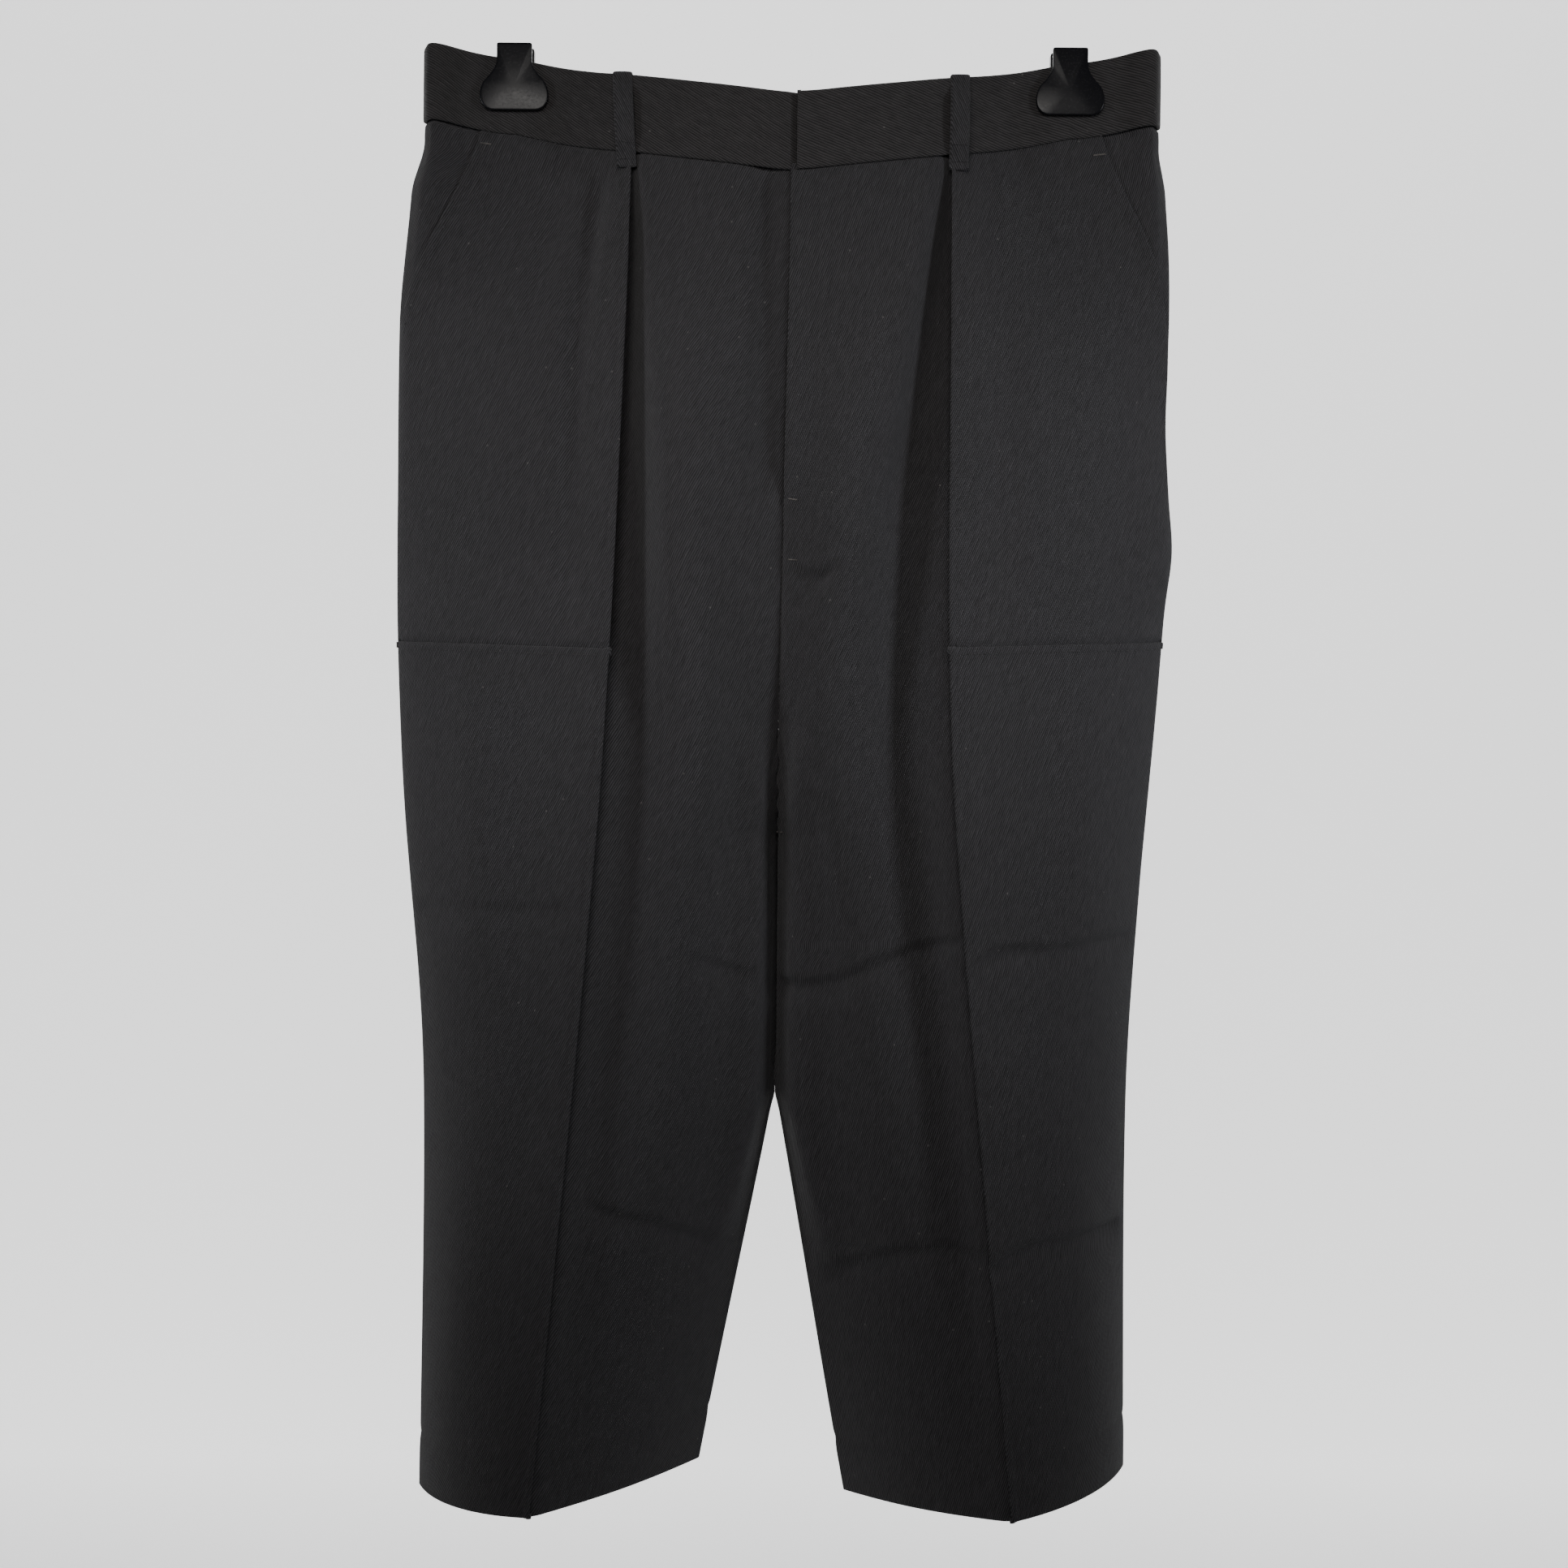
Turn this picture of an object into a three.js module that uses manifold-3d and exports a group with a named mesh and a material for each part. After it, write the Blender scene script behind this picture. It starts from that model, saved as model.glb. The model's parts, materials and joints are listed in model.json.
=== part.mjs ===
// Black pleated trousers hanging from two spring clips, as one assembly of cloth and metal pieces.
// Millimetres, +Z up, -Y is the front, +X is the wearer's left. The origin is the hang point: midway
// between the two clips, level with their flat tops. Heights are given as a drop below that level.
import * as THREE from "three";
import Module from "manifold-3d";
import { mergeVertices } from "three/addons/utils/BufferGeometryUtils.js";

const wasm = await Module();
wasm.setup();

// ---------------------------------------------------------------- driving dimensions
const CLOTH = 1.2; // outer cloth with its seam layers
const LINING = 0.8; // facings and linings
const GAP = 0.3; // clearance between pieces that touch

const LEG_DROP = 757; // hang level down to the hem
const CROTCH_DROP = 418; // hang level down to the crotch
const LEGS_PART_DROP = 555; // where the two inner legs come apart
const THIGH_SEAM_DROP = 321; // cross seam on the outer front panel

const WAIST_HALF = 194.5; // flat half width of the waistband
const HIP_HALF = 203; // widest half width
const KNEE_HALF = 190;
const HEM_HALF = 186; // side seam at the hem
const HEM_INNER = 38; // inseam at the hem
const HEM_CREASE_DEPTH = 72; // pressed crease in front of (or behind) the side seam at the hem
const SIDE_RISE = 6; // and this much higher at the sides
const WAIST_SAG = 21; // the band hangs this much lower at the centre than at the clips
const WAIST_BELLY = 34; // centre front in front of the middle plane
const BAND_HEIGHT = 40;
const BAND_TOP_DROP = 8; // band's top edge at the clips
const LEAN = 4.5; // the centre line drifts this far to the wearer's right by the crotch

const CREASE_WAIST = 84; // front crease from the centre, at the waist
const CREASE_HEM = 120;
const THIGH_BULGE = 9; // how far the inner panel rounds out between its seams
const SIDE_ROUNDNESS = 0.55; // 0 is flat from crease to side seam, 1 is a quarter ellipse
const PINCH_FADE = 110; // below the band, the waist's shape gives way to the hips'

const PINCH_ROOM = 3; // pocket layers caught between the two linings where a clip grips
const CLIP_SPACING = 294;
const CLIP_PAD_WIDTH = 37;
const CLIP_NECK_WIDTH = 18.5;
const CLIP_PAD_DROP = 36.8;
const CLIP_PLATE = 2.6;
const CLIP_HEAD_DEPTH = 7; // block behind the pin whose flat top hangs from the hanger
const PIN_RADIUS = 0.8;
const PIN_DROP = 4;
const KNUCKLE_WALL = 1.3;
const WEB_HALF = 1.6; // half height of the web from a jaw's plate to its barrels

const LOOP_FRONT_X = 88;
const LOOP_BACK_X = 96;
const LOOP_WIDTH = 10.3;
const LOOP_OVERHANG = 9.5; // past the waist seam
const LOOP_BELT_ROOM = 5;
const LOOP_CLOTH = 1.2;

const FLY_DROP = 245; // bottom of the zip opening
const FLY_FACING_WIDTH = 34;
const UNDERLAP = 35;
const UNDERLAP_DEPTH = 8.5;
const ZIP_X = 10;
const ZIP_DEPTH = 14.2; // chain plane behind the front cloth
const TEETH_THICKNESS = 2.2;
const TEETH_WIDTH = 2.4;
const TEETH_PITCH = 4;
const CHAIN_GAP = 1.2; // between the two rows, where the slider's web runs
const SLIDER_LENGTH = 9;
const SLIDER_WIDTH = 9;
const SLIDER_WALL = 0.9;
const PULL_LENGTH = 20;

const POCKET_TOP_X = 165; // slant pocket mouth at the waist seam
const POCKET_END_DROP = 162; // where the mouth runs into the side seam
const POCKET_BAG_DROP = 285;
const POCKET_BAG = 1;
const HEM_TURNUP = 30;
const EASE = 0.5; // extra room for a flat layer inside a curved one

// ---------------------------------------------------------------- curves along the drop
// A smooth curve through knots [at, value], flat beyond its ends.
function curveThrough(knots) {
  const slope = knots.map((k, i) => {
    const a = knots[Math.max(i - 1, 0)];
    const b = knots[Math.min(i + 1, knots.length - 1)];
    return (b[1] - a[1]) / (b[0] - a[0]);
  });
  return (at) => {
    const t = Math.min(Math.max(at, knots[0][0]), knots.at(-1)[0]);
    const i = Math.min(knots.findLastIndex((k) => k[0] <= t), knots.length - 2);
    const span = knots[i + 1][0] - knots[i][0];
    const s = (t - knots[i][0]) / span;
    const h01 = s * s * (3 - 2 * s);
    const bend = span * (slope[i] * s * (1 - s) ** 2 - slope[i + 1] * s * s * (1 - s));
    return knots[i][1] * (1 - h01) + knots[i + 1][1] * h01 + bend;
  };
}
const smooth = (a, b, x) => THREE.MathUtils.smoothstep(x, a, b);
const mix = THREE.MathUtils.lerp;

const lean = (h) => -LEAN * smooth(60, 400, h);
const sideX = curveThrough([
  [44, WAIST_HALF], [90, HIP_HALF - 4], [250, HIP_HALF + 1], [330, HIP_HALF - 1],
  [LEGS_PART_DROP - 105, KNEE_HALF + 2], [LEGS_PART_DROP, KNEE_HALF - 4], [LEG_DROP, HEM_HALF],
]);
const creaseX = curveThrough([
  [44, CREASE_WAIST], [200, CREASE_WAIST + 1], [THIGH_SEAM_DROP, CREASE_WAIST + 3],
  [CROTCH_DROP, CREASE_WAIST + 7.5], [LEG_DROP, CREASE_HEM],
]);
const creaseDepth = {
  front: curveThrough([
    [44, WAIST_BELLY / 2], [120, 27], [220, 36], [CROTCH_DROP, 51], [LEG_DROP, HEM_CREASE_DEPTH],
  ]),
  back: curveThrough([
    [44, WAIST_BELLY / 2], [120, 32], [220, 45], [CROTCH_DROP, 56], [LEG_DROP, HEM_CREASE_DEPTH],
  ]),
};
const insideX = (h) => CHAIN_GAP + HEM_INNER * Math.max(0, h - LEGS_PART_DROP) / (LEG_DROP - LEGS_PART_DROP);

// Centre seam: straight down the fly, then a quarter ellipse under to the crotch.
const riseStart = { front: FLY_DROP + 25, back: 215 };
const seatDepth = { front: WAIST_BELLY, back: WAIST_BELLY + 8 };
function centreDepth(face, h) {
  const curved = Math.min(Math.max((h - riseStart[face]) / (CROTCH_DROP - riseStart[face]), 0), 1);
  const straight = mix(WAIST_BELLY, seatDepth[face], smooth(60, riseStart[face], h));
  return straight * Math.sqrt(1 - curved * curved);
}

// ---------------------------------------------------------------- plan of the waist
// u runs 0 at the centre, 1 at the crease, 2 at the side. The band is flat where a clip holds it and
// forms a small loop outside the clip.
const CLIP_X = CLIP_SPACING / 2;
const PINCH = CLOTH / 2 + GAP + LINING + PINCH_ROOM / 2; // cloth's middle from the mid plane, under a clip
const PAD_EDGE = CLIP_PAD_WIDTH / 2 + 3;
const waistX = curveThrough([
  [0, 0], [0.34, CREASE_WAIST * 0.34], [0.67, CREASE_WAIST * 0.67], [1, CREASE_WAIST],
  [1.2, (CREASE_WAIST + CLIP_X - PAD_EDGE) / 2], [1.4, CLIP_X - PAD_EDGE], [1.6, CLIP_X],
  [1.8, CLIP_X + PAD_EDGE], [1.92, WAIST_HALF - 5], [2, WAIST_HALF],
]);
const waistY = curveThrough([
  [0, WAIST_BELLY], [0.34, WAIST_BELLY * 0.93], [0.67, WAIST_BELLY * 0.75], [1, WAIST_BELLY / 2],
  [1.2, WAIST_BELLY * 0.24], [1.38, PINCH], [1.82, PINCH], [1.92, 8], [2, 0],
]);
// Drop of the band's top edge: level at the clips, sagging to the centre, rising a little at the side.
function bandTop(x) {
  const sag = WAIST_SAG * (1 - Math.min(Math.abs(x) / CLIP_X, 1) ** 1.6);
  return BAND_TOP_DROP + sag - SIDE_RISE * smooth(CLIP_X, WAIST_HALF, Math.abs(x));
}
const bandBottomAt = (u) => bandTop(waistX(u)) + BAND_HEIGHT;
// The u of a place between the centre and just outside the crease.
function waistU(x) {
  const beyond = (x - CREASE_WAIST) / (waistX(1.2) - CREASE_WAIST);
  return x < CREASE_WAIST ? x / CREASE_WAIST : 1 + 0.2 * beyond;
}

// ---------------------------------------------------------------- cross section of one half
// The middle of the cloth at drop h, on the wearer's left half with no lean; y is positive outwards
// for either face and the caller signs it.
function section(face, u, h) {
  const depth = creaseDepth[face](h);
  const cx = creaseX(h);
  let x;
  let y;
  if (u <= 1) {
    const x0 = insideX(h) * smooth(CROTCH_DROP - 60, CROTCH_DROP, h);
    const y0 = centreDepth(face, h);
    const length = Math.hypot(cx - x0, depth - y0);
    const fullness = smooth(44, 250, h) * (1 - 0.45 * smooth(450, LEG_DROP, h));
    const bulge = THIGH_BULGE * fullness * Math.sin(Math.PI * u);
    x = mix(x0, cx, u) - bulge * (depth - y0) / length;
    y = mix(y0, depth, u) + bulge * (cx - x0) / length;
  } else {
    const v = u - 1;
    x = mix(cx, sideX(h), mix(v, Math.sin(v * Math.PI / 2), SIDE_ROUNDNESS));
    y = depth * mix(1 - v, Math.cos(v * Math.PI / 2), SIDE_ROUNDNESS);
  }
  const pinched = 1 - smooth(0, PINCH_FADE, h - bandBottomAt(u));
  return [mix(x, waistX(u), pinched), mix(y, waistY(u), pinched)];
}
// Outward mitred normal of that section, so that offset cloth keeps its thickness at a fold.
function outward(face, u, h, low = 0, high = 2) {
  const step = 0.004;
  const at = (w) => section(face, w, h);
  const side = (a, b) => {
    const [p, q] = [at(a), at(b)];
    const l = Math.hypot(q[0] - p[0], q[1] - p[1]);
    return [-(q[1] - p[1]) / l, (q[0] - p[0]) / l];
  };
  const before = u - step >= low ? side(u - step, u) : side(u, u + step);
  const after = u + step <= high ? side(u, u + step) : before;
  const k = 1 + before[0] * after[0] + before[1] * after[1];
  return [(before[0] + after[0]) / k, (before[1] + after[1]) / k];
}

// ---------------------------------------------------------------- making solids
const colours = {
  cloth: { color: 0x1f1d1e, roughness: 0.92, metalness: 0 },
  lining: { color: 0x151416, roughness: 0.6, metalness: 0 },
  plastic: { color: 0x0b0b0d, roughness: 0.15, metalness: 0 },
  steel: { color: 0x9a9ca0, roughness: 0.3, metalness: 1 },
  zip: { color: 0x2a2a2c, roughness: 0.35, metalness: 0.9 },
};
const garment = new THREE.Group();

function addNode(name, geometry, look) {
  const mesh = new THREE.Mesh(geometry, new THREE.MeshStandardMaterial(colours[look]));
  mesh.name = name;
  garment.add(mesh);
  return mesh;
}

// A closed solid between two point grids of equal size, rows[k][i]; `ring` joins the last i to the
// first.
function slab(outer, inner, ring = false) {
  const rows = outer.length;
  const cols = outer[0].length;
  const points = [...outer.flat(), ...inner.flat()];
  const id = (layer, k, i) => layer * rows * cols + k * cols + (i % cols);
  const index = [];
  const quad = (p, q, r, t) => index.push(p, q, r, p, r, t);
  const last = ring ? cols : cols - 1;
  for (let i = 0; i < last; i += 1) {
    for (let k = 0; k < rows - 1; k += 1) {
      quad(id(0, k, i), id(0, k + 1, i), id(0, k + 1, i + 1), id(0, k, i + 1));
      quad(id(1, k, i), id(1, k, i + 1), id(1, k + 1, i + 1), id(1, k + 1, i));
    }
    quad(id(0, 0, i), id(0, 0, i + 1), id(1, 0, i + 1), id(1, 0, i));
    quad(id(0, rows - 1, i + 1), id(0, rows - 1, i), id(1, rows - 1, i), id(1, rows - 1, i + 1));
  }
  for (let k = 0; k < rows - 1 && !ring; k += 1) {
    quad(id(0, k + 1, 0), id(0, k, 0), id(1, k, 0), id(1, k + 1, 0));
    quad(id(0, k, cols - 1), id(0, k + 1, cols - 1), id(1, k + 1, cols - 1), id(1, k, cols - 1));
  }
  const geometry = new THREE.BufferGeometry();
  geometry.setAttribute("position", new THREE.Float32BufferAttribute(points.flat(), 3));
  geometry.setIndex(index);
  if (signedVolume(points, index) < 0) geometry.setIndex(index.reverse());
  return geometry;
}
function signedVolume(points, index) {
  let sum = 0;
  for (let i = 0; i < index.length; i += 3) {
    const [p, q, r] = [0, 1, 2].map((k) => new THREE.Vector3(...points[index[i + k]]));
    sum += p.dot(q.cross(r));
  }
  return sum / 6;
}

// A flat path moved sideways by d, mitred at its corners; `closed` joins its ends.
function offsetPath(path, d, closed = false) {
  const n = path.length;
  const normal = (i, j) => {
    const [dx, dy] = [path[j][0] - path[i][0], path[j][1] - path[i][1]];
    const l = Math.hypot(dx, dy);
    return [dy / l, -dx / l];
  };
  return path.map((p, i) => {
    const first = !closed && i === 0;
    const end = !closed && i === n - 1;
    const b = first ? normal(0, 1) : normal((i + n - 1) % n, i);
    const a = end ? b : normal(i, (i + 1) % n);
    const k = 1 + a[0] * b[0] + a[1] * b[1];
    return [p[0] + d * (a[0] + b[0]) / k, p[1] + d * (a[1] + b[1]) / k];
  });
}

// A strip of even thickness that follows a flat path and is `width` wide, from `from` along local Z.
function ribbon(path, thickness, from, width) {
  const rows = (side) => {
    const moved = offsetPath(path, side * thickness / 2);
    return [from, from + width].map((w) => moved.map(([x, y]) => [x, y, w]));
  };
  return slab(rows(1), rows(-1));
}

const solidOf = (geometry) => {
  const plain = new THREE.BufferGeometry().setAttribute("position", geometry.getAttribute("position"));
  if (geometry.index) plain.setIndex(geometry.index);
  const merged = mergeVertices(plain, 1e-4);
  return new wasm.Manifold(new wasm.Mesh({
    numProp: 3,
    vertProperties: merged.attributes.position.array,
    triVerts: new Uint32Array(merged.index.array),
  }));
};
function geometryOf(solid) {
  const { vertProperties, triVerts } = solid.getMesh();
  const geometry = new THREE.BufferGeometry();
  geometry.setAttribute("position", new THREE.BufferAttribute(new Float32Array(vertProperties), 3));
  return geometry.setIndex(new THREE.BufferAttribute(new Uint32Array(triVerts), 1));
}
const join = (...parts) => geometryOf(parts.map(solidOf).reduce((all, part) => all.add(part)));
const cut = (whole, tool) => geometryOf(solidOf(whole).subtract(solidOf(tool)));

// Simple solids placed by their extents: a box, a bar along X, and a plate cut to an outline in X and
// Z whose front face is at y.
const box = ([x0, x1], [y0, y1], [z0, z1]) =>
  new THREE.BoxGeometry(x1 - x0, y1 - y0, z1 - z0).translate((x0 + x1) / 2, (y0 + y1) / 2, (z0 + z1) / 2);
const barAlongX = (radius, x0, x1, y, z, sides = 20) =>
  new THREE.CylinderGeometry(radius, radius, x1 - x0, sides)
    .rotateZ(Math.PI / 2).translate((x0 + x1) / 2, y, z);
const plate = (outline, thickness, y) =>
  new THREE.ExtrudeGeometry(outline, { depth: thickness, bevelEnabled: false, curveSegments: 7 })
    .rotateX(Math.PI / 2).translate(0, y + thickness, 0);

// A sheet of cloth over part of one half's surface. `sign` is +1 for the wearer's left half.
// `stations` give the drop of each row at a u; `low` and `high` are its two edges, each a function of
// the drop with an optional seam test that both faces of the cloth must stay clear of. `inward` is
// how far the cloth's middle lies behind the garment's surface.
function sheet({ face, sign, stations, low, high, columns, inward = () => 0, thickness = CLOTH }) {
  const outer = [];
  const inner = [];
  const signY = face === "front" ? -1 : 1;
  for (const station of stations) {
    const u0 = low.u(station(low.u(0)));
    const u1 = high.u(station(high.u(0)));
    const corners = (u, a, b) => {
      const h = station(u);
      const p = section(face, u, h);
      const n = outward(face, u, h, a, b);
      return [thickness / 2, -thickness / 2].map((d) => {
        const away = d - inward(u, h);
        return [p[0] + n[0] * away, p[1] + n[1] * away, h];
      });
    };
    const trim = (edge, other, seam) => {
      const clear = (u) => corners(u, Math.min(u, other), Math.max(u, other)).every(seam);
      let bad = edge;
      let good = mix(edge, other, 0.5);
      for (let i = 0; i < 24 && seam && !clear(edge); i += 1) {
        const u = (bad + good) / 2;
        if (clear(u)) good = u;
        else bad = u;
      }
      return seam && !clear(edge) ? good : edge;
    };
    const ends = [trim(u0, u1, low.seam), trim(u1, u0, high.seam)];
    const row = Array.from({ length: columns + 1 }, (_, i) => {
      const u = mix(ends[0], ends[1], i / columns);
      return corners(u, ends[0], ends[1]).map(([x, y, h]) => [sign * x + lean(h), signY * y, -h]);
    });
    outer.push(row.map((c) => c[0]));
    inner.push(row.map((c) => c[1]));
  }
  return slab(outer, inner);
}

// Seam tests on a corner [x, y, drop], and the edges of the panels.
const half = GAP / 2;
const centreSeam = ([x, y]) => x >= half && y >= half;
const sideSeam = ([, y]) => y >= half;
const innerOfCrease = ([x, , h]) => x <= creaseX(h) - half;
const outerOfCrease = ([x, , h]) => x >= creaseX(h) + half;
const at = (value, seam) => ({ u: () => value, seam });
const CENTRE = at(0, centreSeam);
const SIDE = at(2, sideSeam);

const spread = [0, 0.05, 0.11, 0.18, 0.26, 0.35, 0.46, 0.57, 0.68, 0.79, 0.9, 1];
const fromBand = (bottom) => spread.map((t) => (u) => mix(bandBottomAt(u) + GAP, bottom, t));
const even = (top, bottom, count) =>
  Array.from({ length: count + 1 }, (_, k) => () => mix(top, bottom, k / count));

const SIDES = [["right", -1], ["left", 1]];
const LINED = CLOTH / 2 + GAP + LINING / 2; // middle of a lining behind the middle of the cloth

// ---------------------------------------------------------------- cloth panels
// The slant pocket's mouth, as the u of the front panel's outer edge.
const POCKET_TOP_U = 1.4 + 0.4 * (POCKET_TOP_X - CLIP_X + PAD_EDGE) / (2 * PAD_EDGE);
const mouthTopDrop = bandBottomAt(POCKET_TOP_U);
const downMouth = (h) => (h - mouthTopDrop) / (POCKET_END_DROP - mouthTopDrop);
const mouthU = (h) => mix(POCKET_TOP_U, 2, THREE.MathUtils.clamp(downMouth(h), 0, 1));
const belowPanels = even(CROTCH_DROP, LEG_DROP, 9).slice(1);

for (const [name, sign] of SIDES) {
  addNode(`front_inner_panel_${name}`, sheet({
    face: "front", sign, columns: 6, low: CENTRE, high: at(1, innerOfCrease),
    stations: [...fromBand(CROTCH_DROP), ...belowPanels],
  }), "cloth");
  addNode(`front_upper_panel_${name}`, sheet({
    face: "front", sign, columns: 7, low: at(1, outerOfCrease), high: { u: mouthU, seam: sideSeam },
    stations: fromBand(THIGH_SEAM_DROP - half),
  }), "cloth");
  addNode(`front_lower_panel_${name}`, sheet({
    face: "front", sign, columns: 7, low: at(1, outerOfCrease), high: SIDE,
    stations: even(THIGH_SEAM_DROP + half, LEG_DROP, 11),
  }), "cloth");
  addNode(`back_panel_${name}`, sheet({
    face: "back", sign, columns: 14, low: CENTRE, high: SIDE,
    stations: [...fromBand(CROTCH_DROP), ...belowPanels],
  }), "cloth");
  addNode(`pocket_facing_${name}`, sheet({
    face: "front", sign, columns: 5, low: { u: (h) => mouthU(h) - 0.12 }, high: SIDE, thickness: LINING,
    stations: [0, 0.3, 0.6, 1].map((t) => (u) => mix(bandBottomAt(u) + GAP, POCKET_END_DROP - 45, t)),
    inward: (u, h) => (LINED + EASE / 2) * Math.min(1, (2 - u) / (2 - mouthU(h))),
  }), "cloth");
  addNode(`pocket_bag_${name}`, sheet({
    face: "front", sign, columns: 5, low: at(1.22), high: at(1.84), thickness: POCKET_BAG,
    stations: [0, 0.25, 0.5, 0.75, 1].map((t) => (u) => mix(bandBottomAt(u) + GAP, POCKET_BAG_DROP, t)),
    inward: (u, h) => LINED + EASE / 2 + LINING / 2 + GAP + POCKET_BAG / 2 + 3 * smooth(60, 120, h),
  }), "lining");

  // The turned-up hem lies inside each leg as a closed ring.
  const ringRows = (d) => even(LEG_DROP - HEM_TURNUP, LEG_DROP - 1, 2).map((station) => {
    const h = station();
    const steps = Array.from({ length: 12 }, (_, i) => i / 6);
    const front = steps.map((u) => section("front", u, h)).map(([x, y]) => [x, -y]);
    const back = steps.map((u) => section("back", 2 - u, h));
    return offsetPath([...front, ...back], d, true).map(([x, y]) => [sign * x + lean(h), y, -h]);
  });
  const turnup = slab(ringRows(LINING / 2 - LINED - EASE), ringRows(-LINING / 2 - LINED - EASE), true);
  addNode(`hem_facing_${name}`, turnup, "cloth");
}

// ---------------------------------------------------------------- waistband
// Each half runs from the centre front round the side to the centre back. The wearer's right half
// carries on under the left one as a flat underlap.
const aroundU = [0, 0.17, 0.34, 0.5, 0.67, 0.84, 1, 1.1, 1.2, 1.3, 1.4, 1.5, 1.6, 1.7, 1.8, 1.86, 1.92, 1.96];
function bandPath(start, withUnderlap) {
  const plan = (u) => [Math.max(waistX(u), start), waistY(u)];
  const front = aroundU.map(plan).map(([x, y]) => [x, -y]);
  const back = [2, ...aroundU.toReversed()].map(plan);
  const behind = WAIST_BELLY - UNDERLAP_DEPTH;
  const underlap = [[-UNDERLAP, -behind], [-6, -behind], [5, -waistY(5 / CREASE_WAIST)]];
  return withUnderlap ? [...underlap, ...front.slice(1), ...back] : [...front, ...back];
}
function bandSolid(path, sign, inward, thickness, topInset, bottomInset) {
  const rows = (d) => {
    const moved = offsetPath(path, d);
    return [topInset, BAND_HEIGHT - bottomInset].map((below) =>
      moved.map(([x, y], i) => [sign * x, y, -bandTop(path[i][0]) - below]));
  };
  return slab(rows(thickness / 2 - inward), rows(-thickness / 2 - inward));
}
for (const [name, sign] of SIDES) {
  const underlapped = sign < 0;
  addNode(`waistband_${name}`, bandSolid(bandPath(half, underlapped), sign, 0, CLOTH, 0, 0), "cloth");
  const liningStart = underlapped ? half : 2;
  addNode(
    `waistband_lining_${name}`,
    bandSolid(bandPath(liningStart, underlapped), sign, LINED, LINING, 1.5, 1),
    "lining",
  );
}

// ---------------------------------------------------------------- belt loops
// A bowed strip: its folded top lies on the band's top edge and its foot below the waist seam.
function beltLoop(face, sign, x) {
  const u = waistU(x);
  const top = bandTop(x) + 0.5;
  const foot = bandTop(x) + BAND_HEIGHT + LOOP_OVERHANG;
  const p = section(face, u, top);
  const n = outward(face, u, top);
  const q = section(face, u, foot);
  const lower = (q[0] - p[0]) * n[0] + (q[1] - p[1]) * n[1] + GAP;
  const middle = LOOP_CLOTH / 2 + GAP;
  const path = [
    [middle, -top], [middle, -top - 3], [middle + LOOP_BELT_ROOM, -top - 11],
    [middle + LOOP_BELT_ROOM, -foot + 12], [middle + lower, -foot + 3.5], [middle + lower, -foot],
  ];
  const signY = face === "front" ? -1 : 1;
  const normal = new THREE.Vector3(sign * n[0], signY * n[1], 0).normalize();
  const up = new THREE.Vector3(0, 0, 1);
  const along = new THREE.Vector3().crossVectors(normal, up);
  const seat = CLOTH / 2;
  return ribbon(path, LOOP_CLOTH, -LOOP_WIDTH / 2, LOOP_WIDTH).applyMatrix4(
    new THREE.Matrix4().makeBasis(normal, up, along)
      .setPosition(sign * p[0] + normal.x * seat, signY * p[1] + normal.y * seat, 0),
  );
}
for (const [name, sign] of SIDES) {
  addNode(`belt_loop_front_${name}`, beltLoop("front", sign, LOOP_FRONT_X), "cloth");
  addNode(`belt_loop_back_${name}`, beltLoop("back", sign, LOOP_BACK_X), "cloth");
}
addNode("belt_loop_back_centre", beltLoop("back", 1, 0), "cloth");

// ---------------------------------------------------------------- fly, zip and waist hook
const flyTop = bandBottomAt(0) + GAP;
addNode("fly_facing", sheet({
  face: "front", sign: 1, columns: 4, thickness: LINING, inward: () => LINED + EASE * 1.6,
  low: at(0.02), high: at(FLY_FACING_WIDTH / CREASE_WAIST), stations: even(flyTop, FLY_DROP + 5, 5),
}), "cloth");

const TAPE = 0.6;
const chainY = -(WAIST_BELLY - ZIP_DEPTH);
const teethEdge = CHAIN_GAP / 2 + TEETH_WIDTH;
const tapeTop = -flyTop - 0.5;
const tapeBottom = -FLY_DROP - 5;
const sliderHalf = TEETH_THICKNESS / 2 + GAP + SLIDER_WALL;
for (const [name, sign] of SIDES) {
  const farX = ZIP_X + sign * 21;
  const surface = waistY(Math.abs(farX) / CREASE_WAIST);
  const covered = CLOTH / 2 + GAP + (sign > 0 ? LINING + GAP + 2 * EASE : 0);
  const sewnY = -(surface - covered - TAPE / 2);
  const path = [[teethEdge + GAP, chainY], [9, chainY], [13.5, sewnY], [21, sewnY]];
  addNode(
    `zip_tape_${name}`,
    ribbon(path.map(([x, y]) => [ZIP_X + sign * x, y]), TAPE, tapeBottom, tapeTop - tapeBottom),
    "lining",
  );
  const comb = new THREE.Shape();
  const root = ZIP_X + sign * teethEdge;
  const neck = ZIP_X + sign * (teethEdge - 1);
  const tip = ZIP_X + sign * (CHAIN_GAP / 2);
  const combTop = tapeTop - 3;
  const teeth = Math.floor((combTop - tapeBottom - 5) / TEETH_PITCH);
  comb.moveTo(root, combTop);
  for (let i = 0; i < teeth; i += 1) {
    const z = combTop - i * TEETH_PITCH;
    comb.lineTo(tip, z);
    comb.lineTo(tip, z - TEETH_PITCH / 2);
    comb.lineTo(neck, z - TEETH_PITCH / 2);
    comb.lineTo(neck, z - TEETH_PITCH);
  }
  comb.lineTo(root, combTop - teeth * TEETH_PITCH);
  addNode(`zip_teeth_${name}`, plate(comb, TEETH_THICKNESS, chainY - TEETH_THICKNESS / 2), "zip");
  addNode(`zip_top_stop_${name}`, box(
    [root, tip].sort((a, b) => a - b), [chainY - 1, chainY + 1], [combTop + GAP, combTop + 2],
  ), "zip");
}
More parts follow.
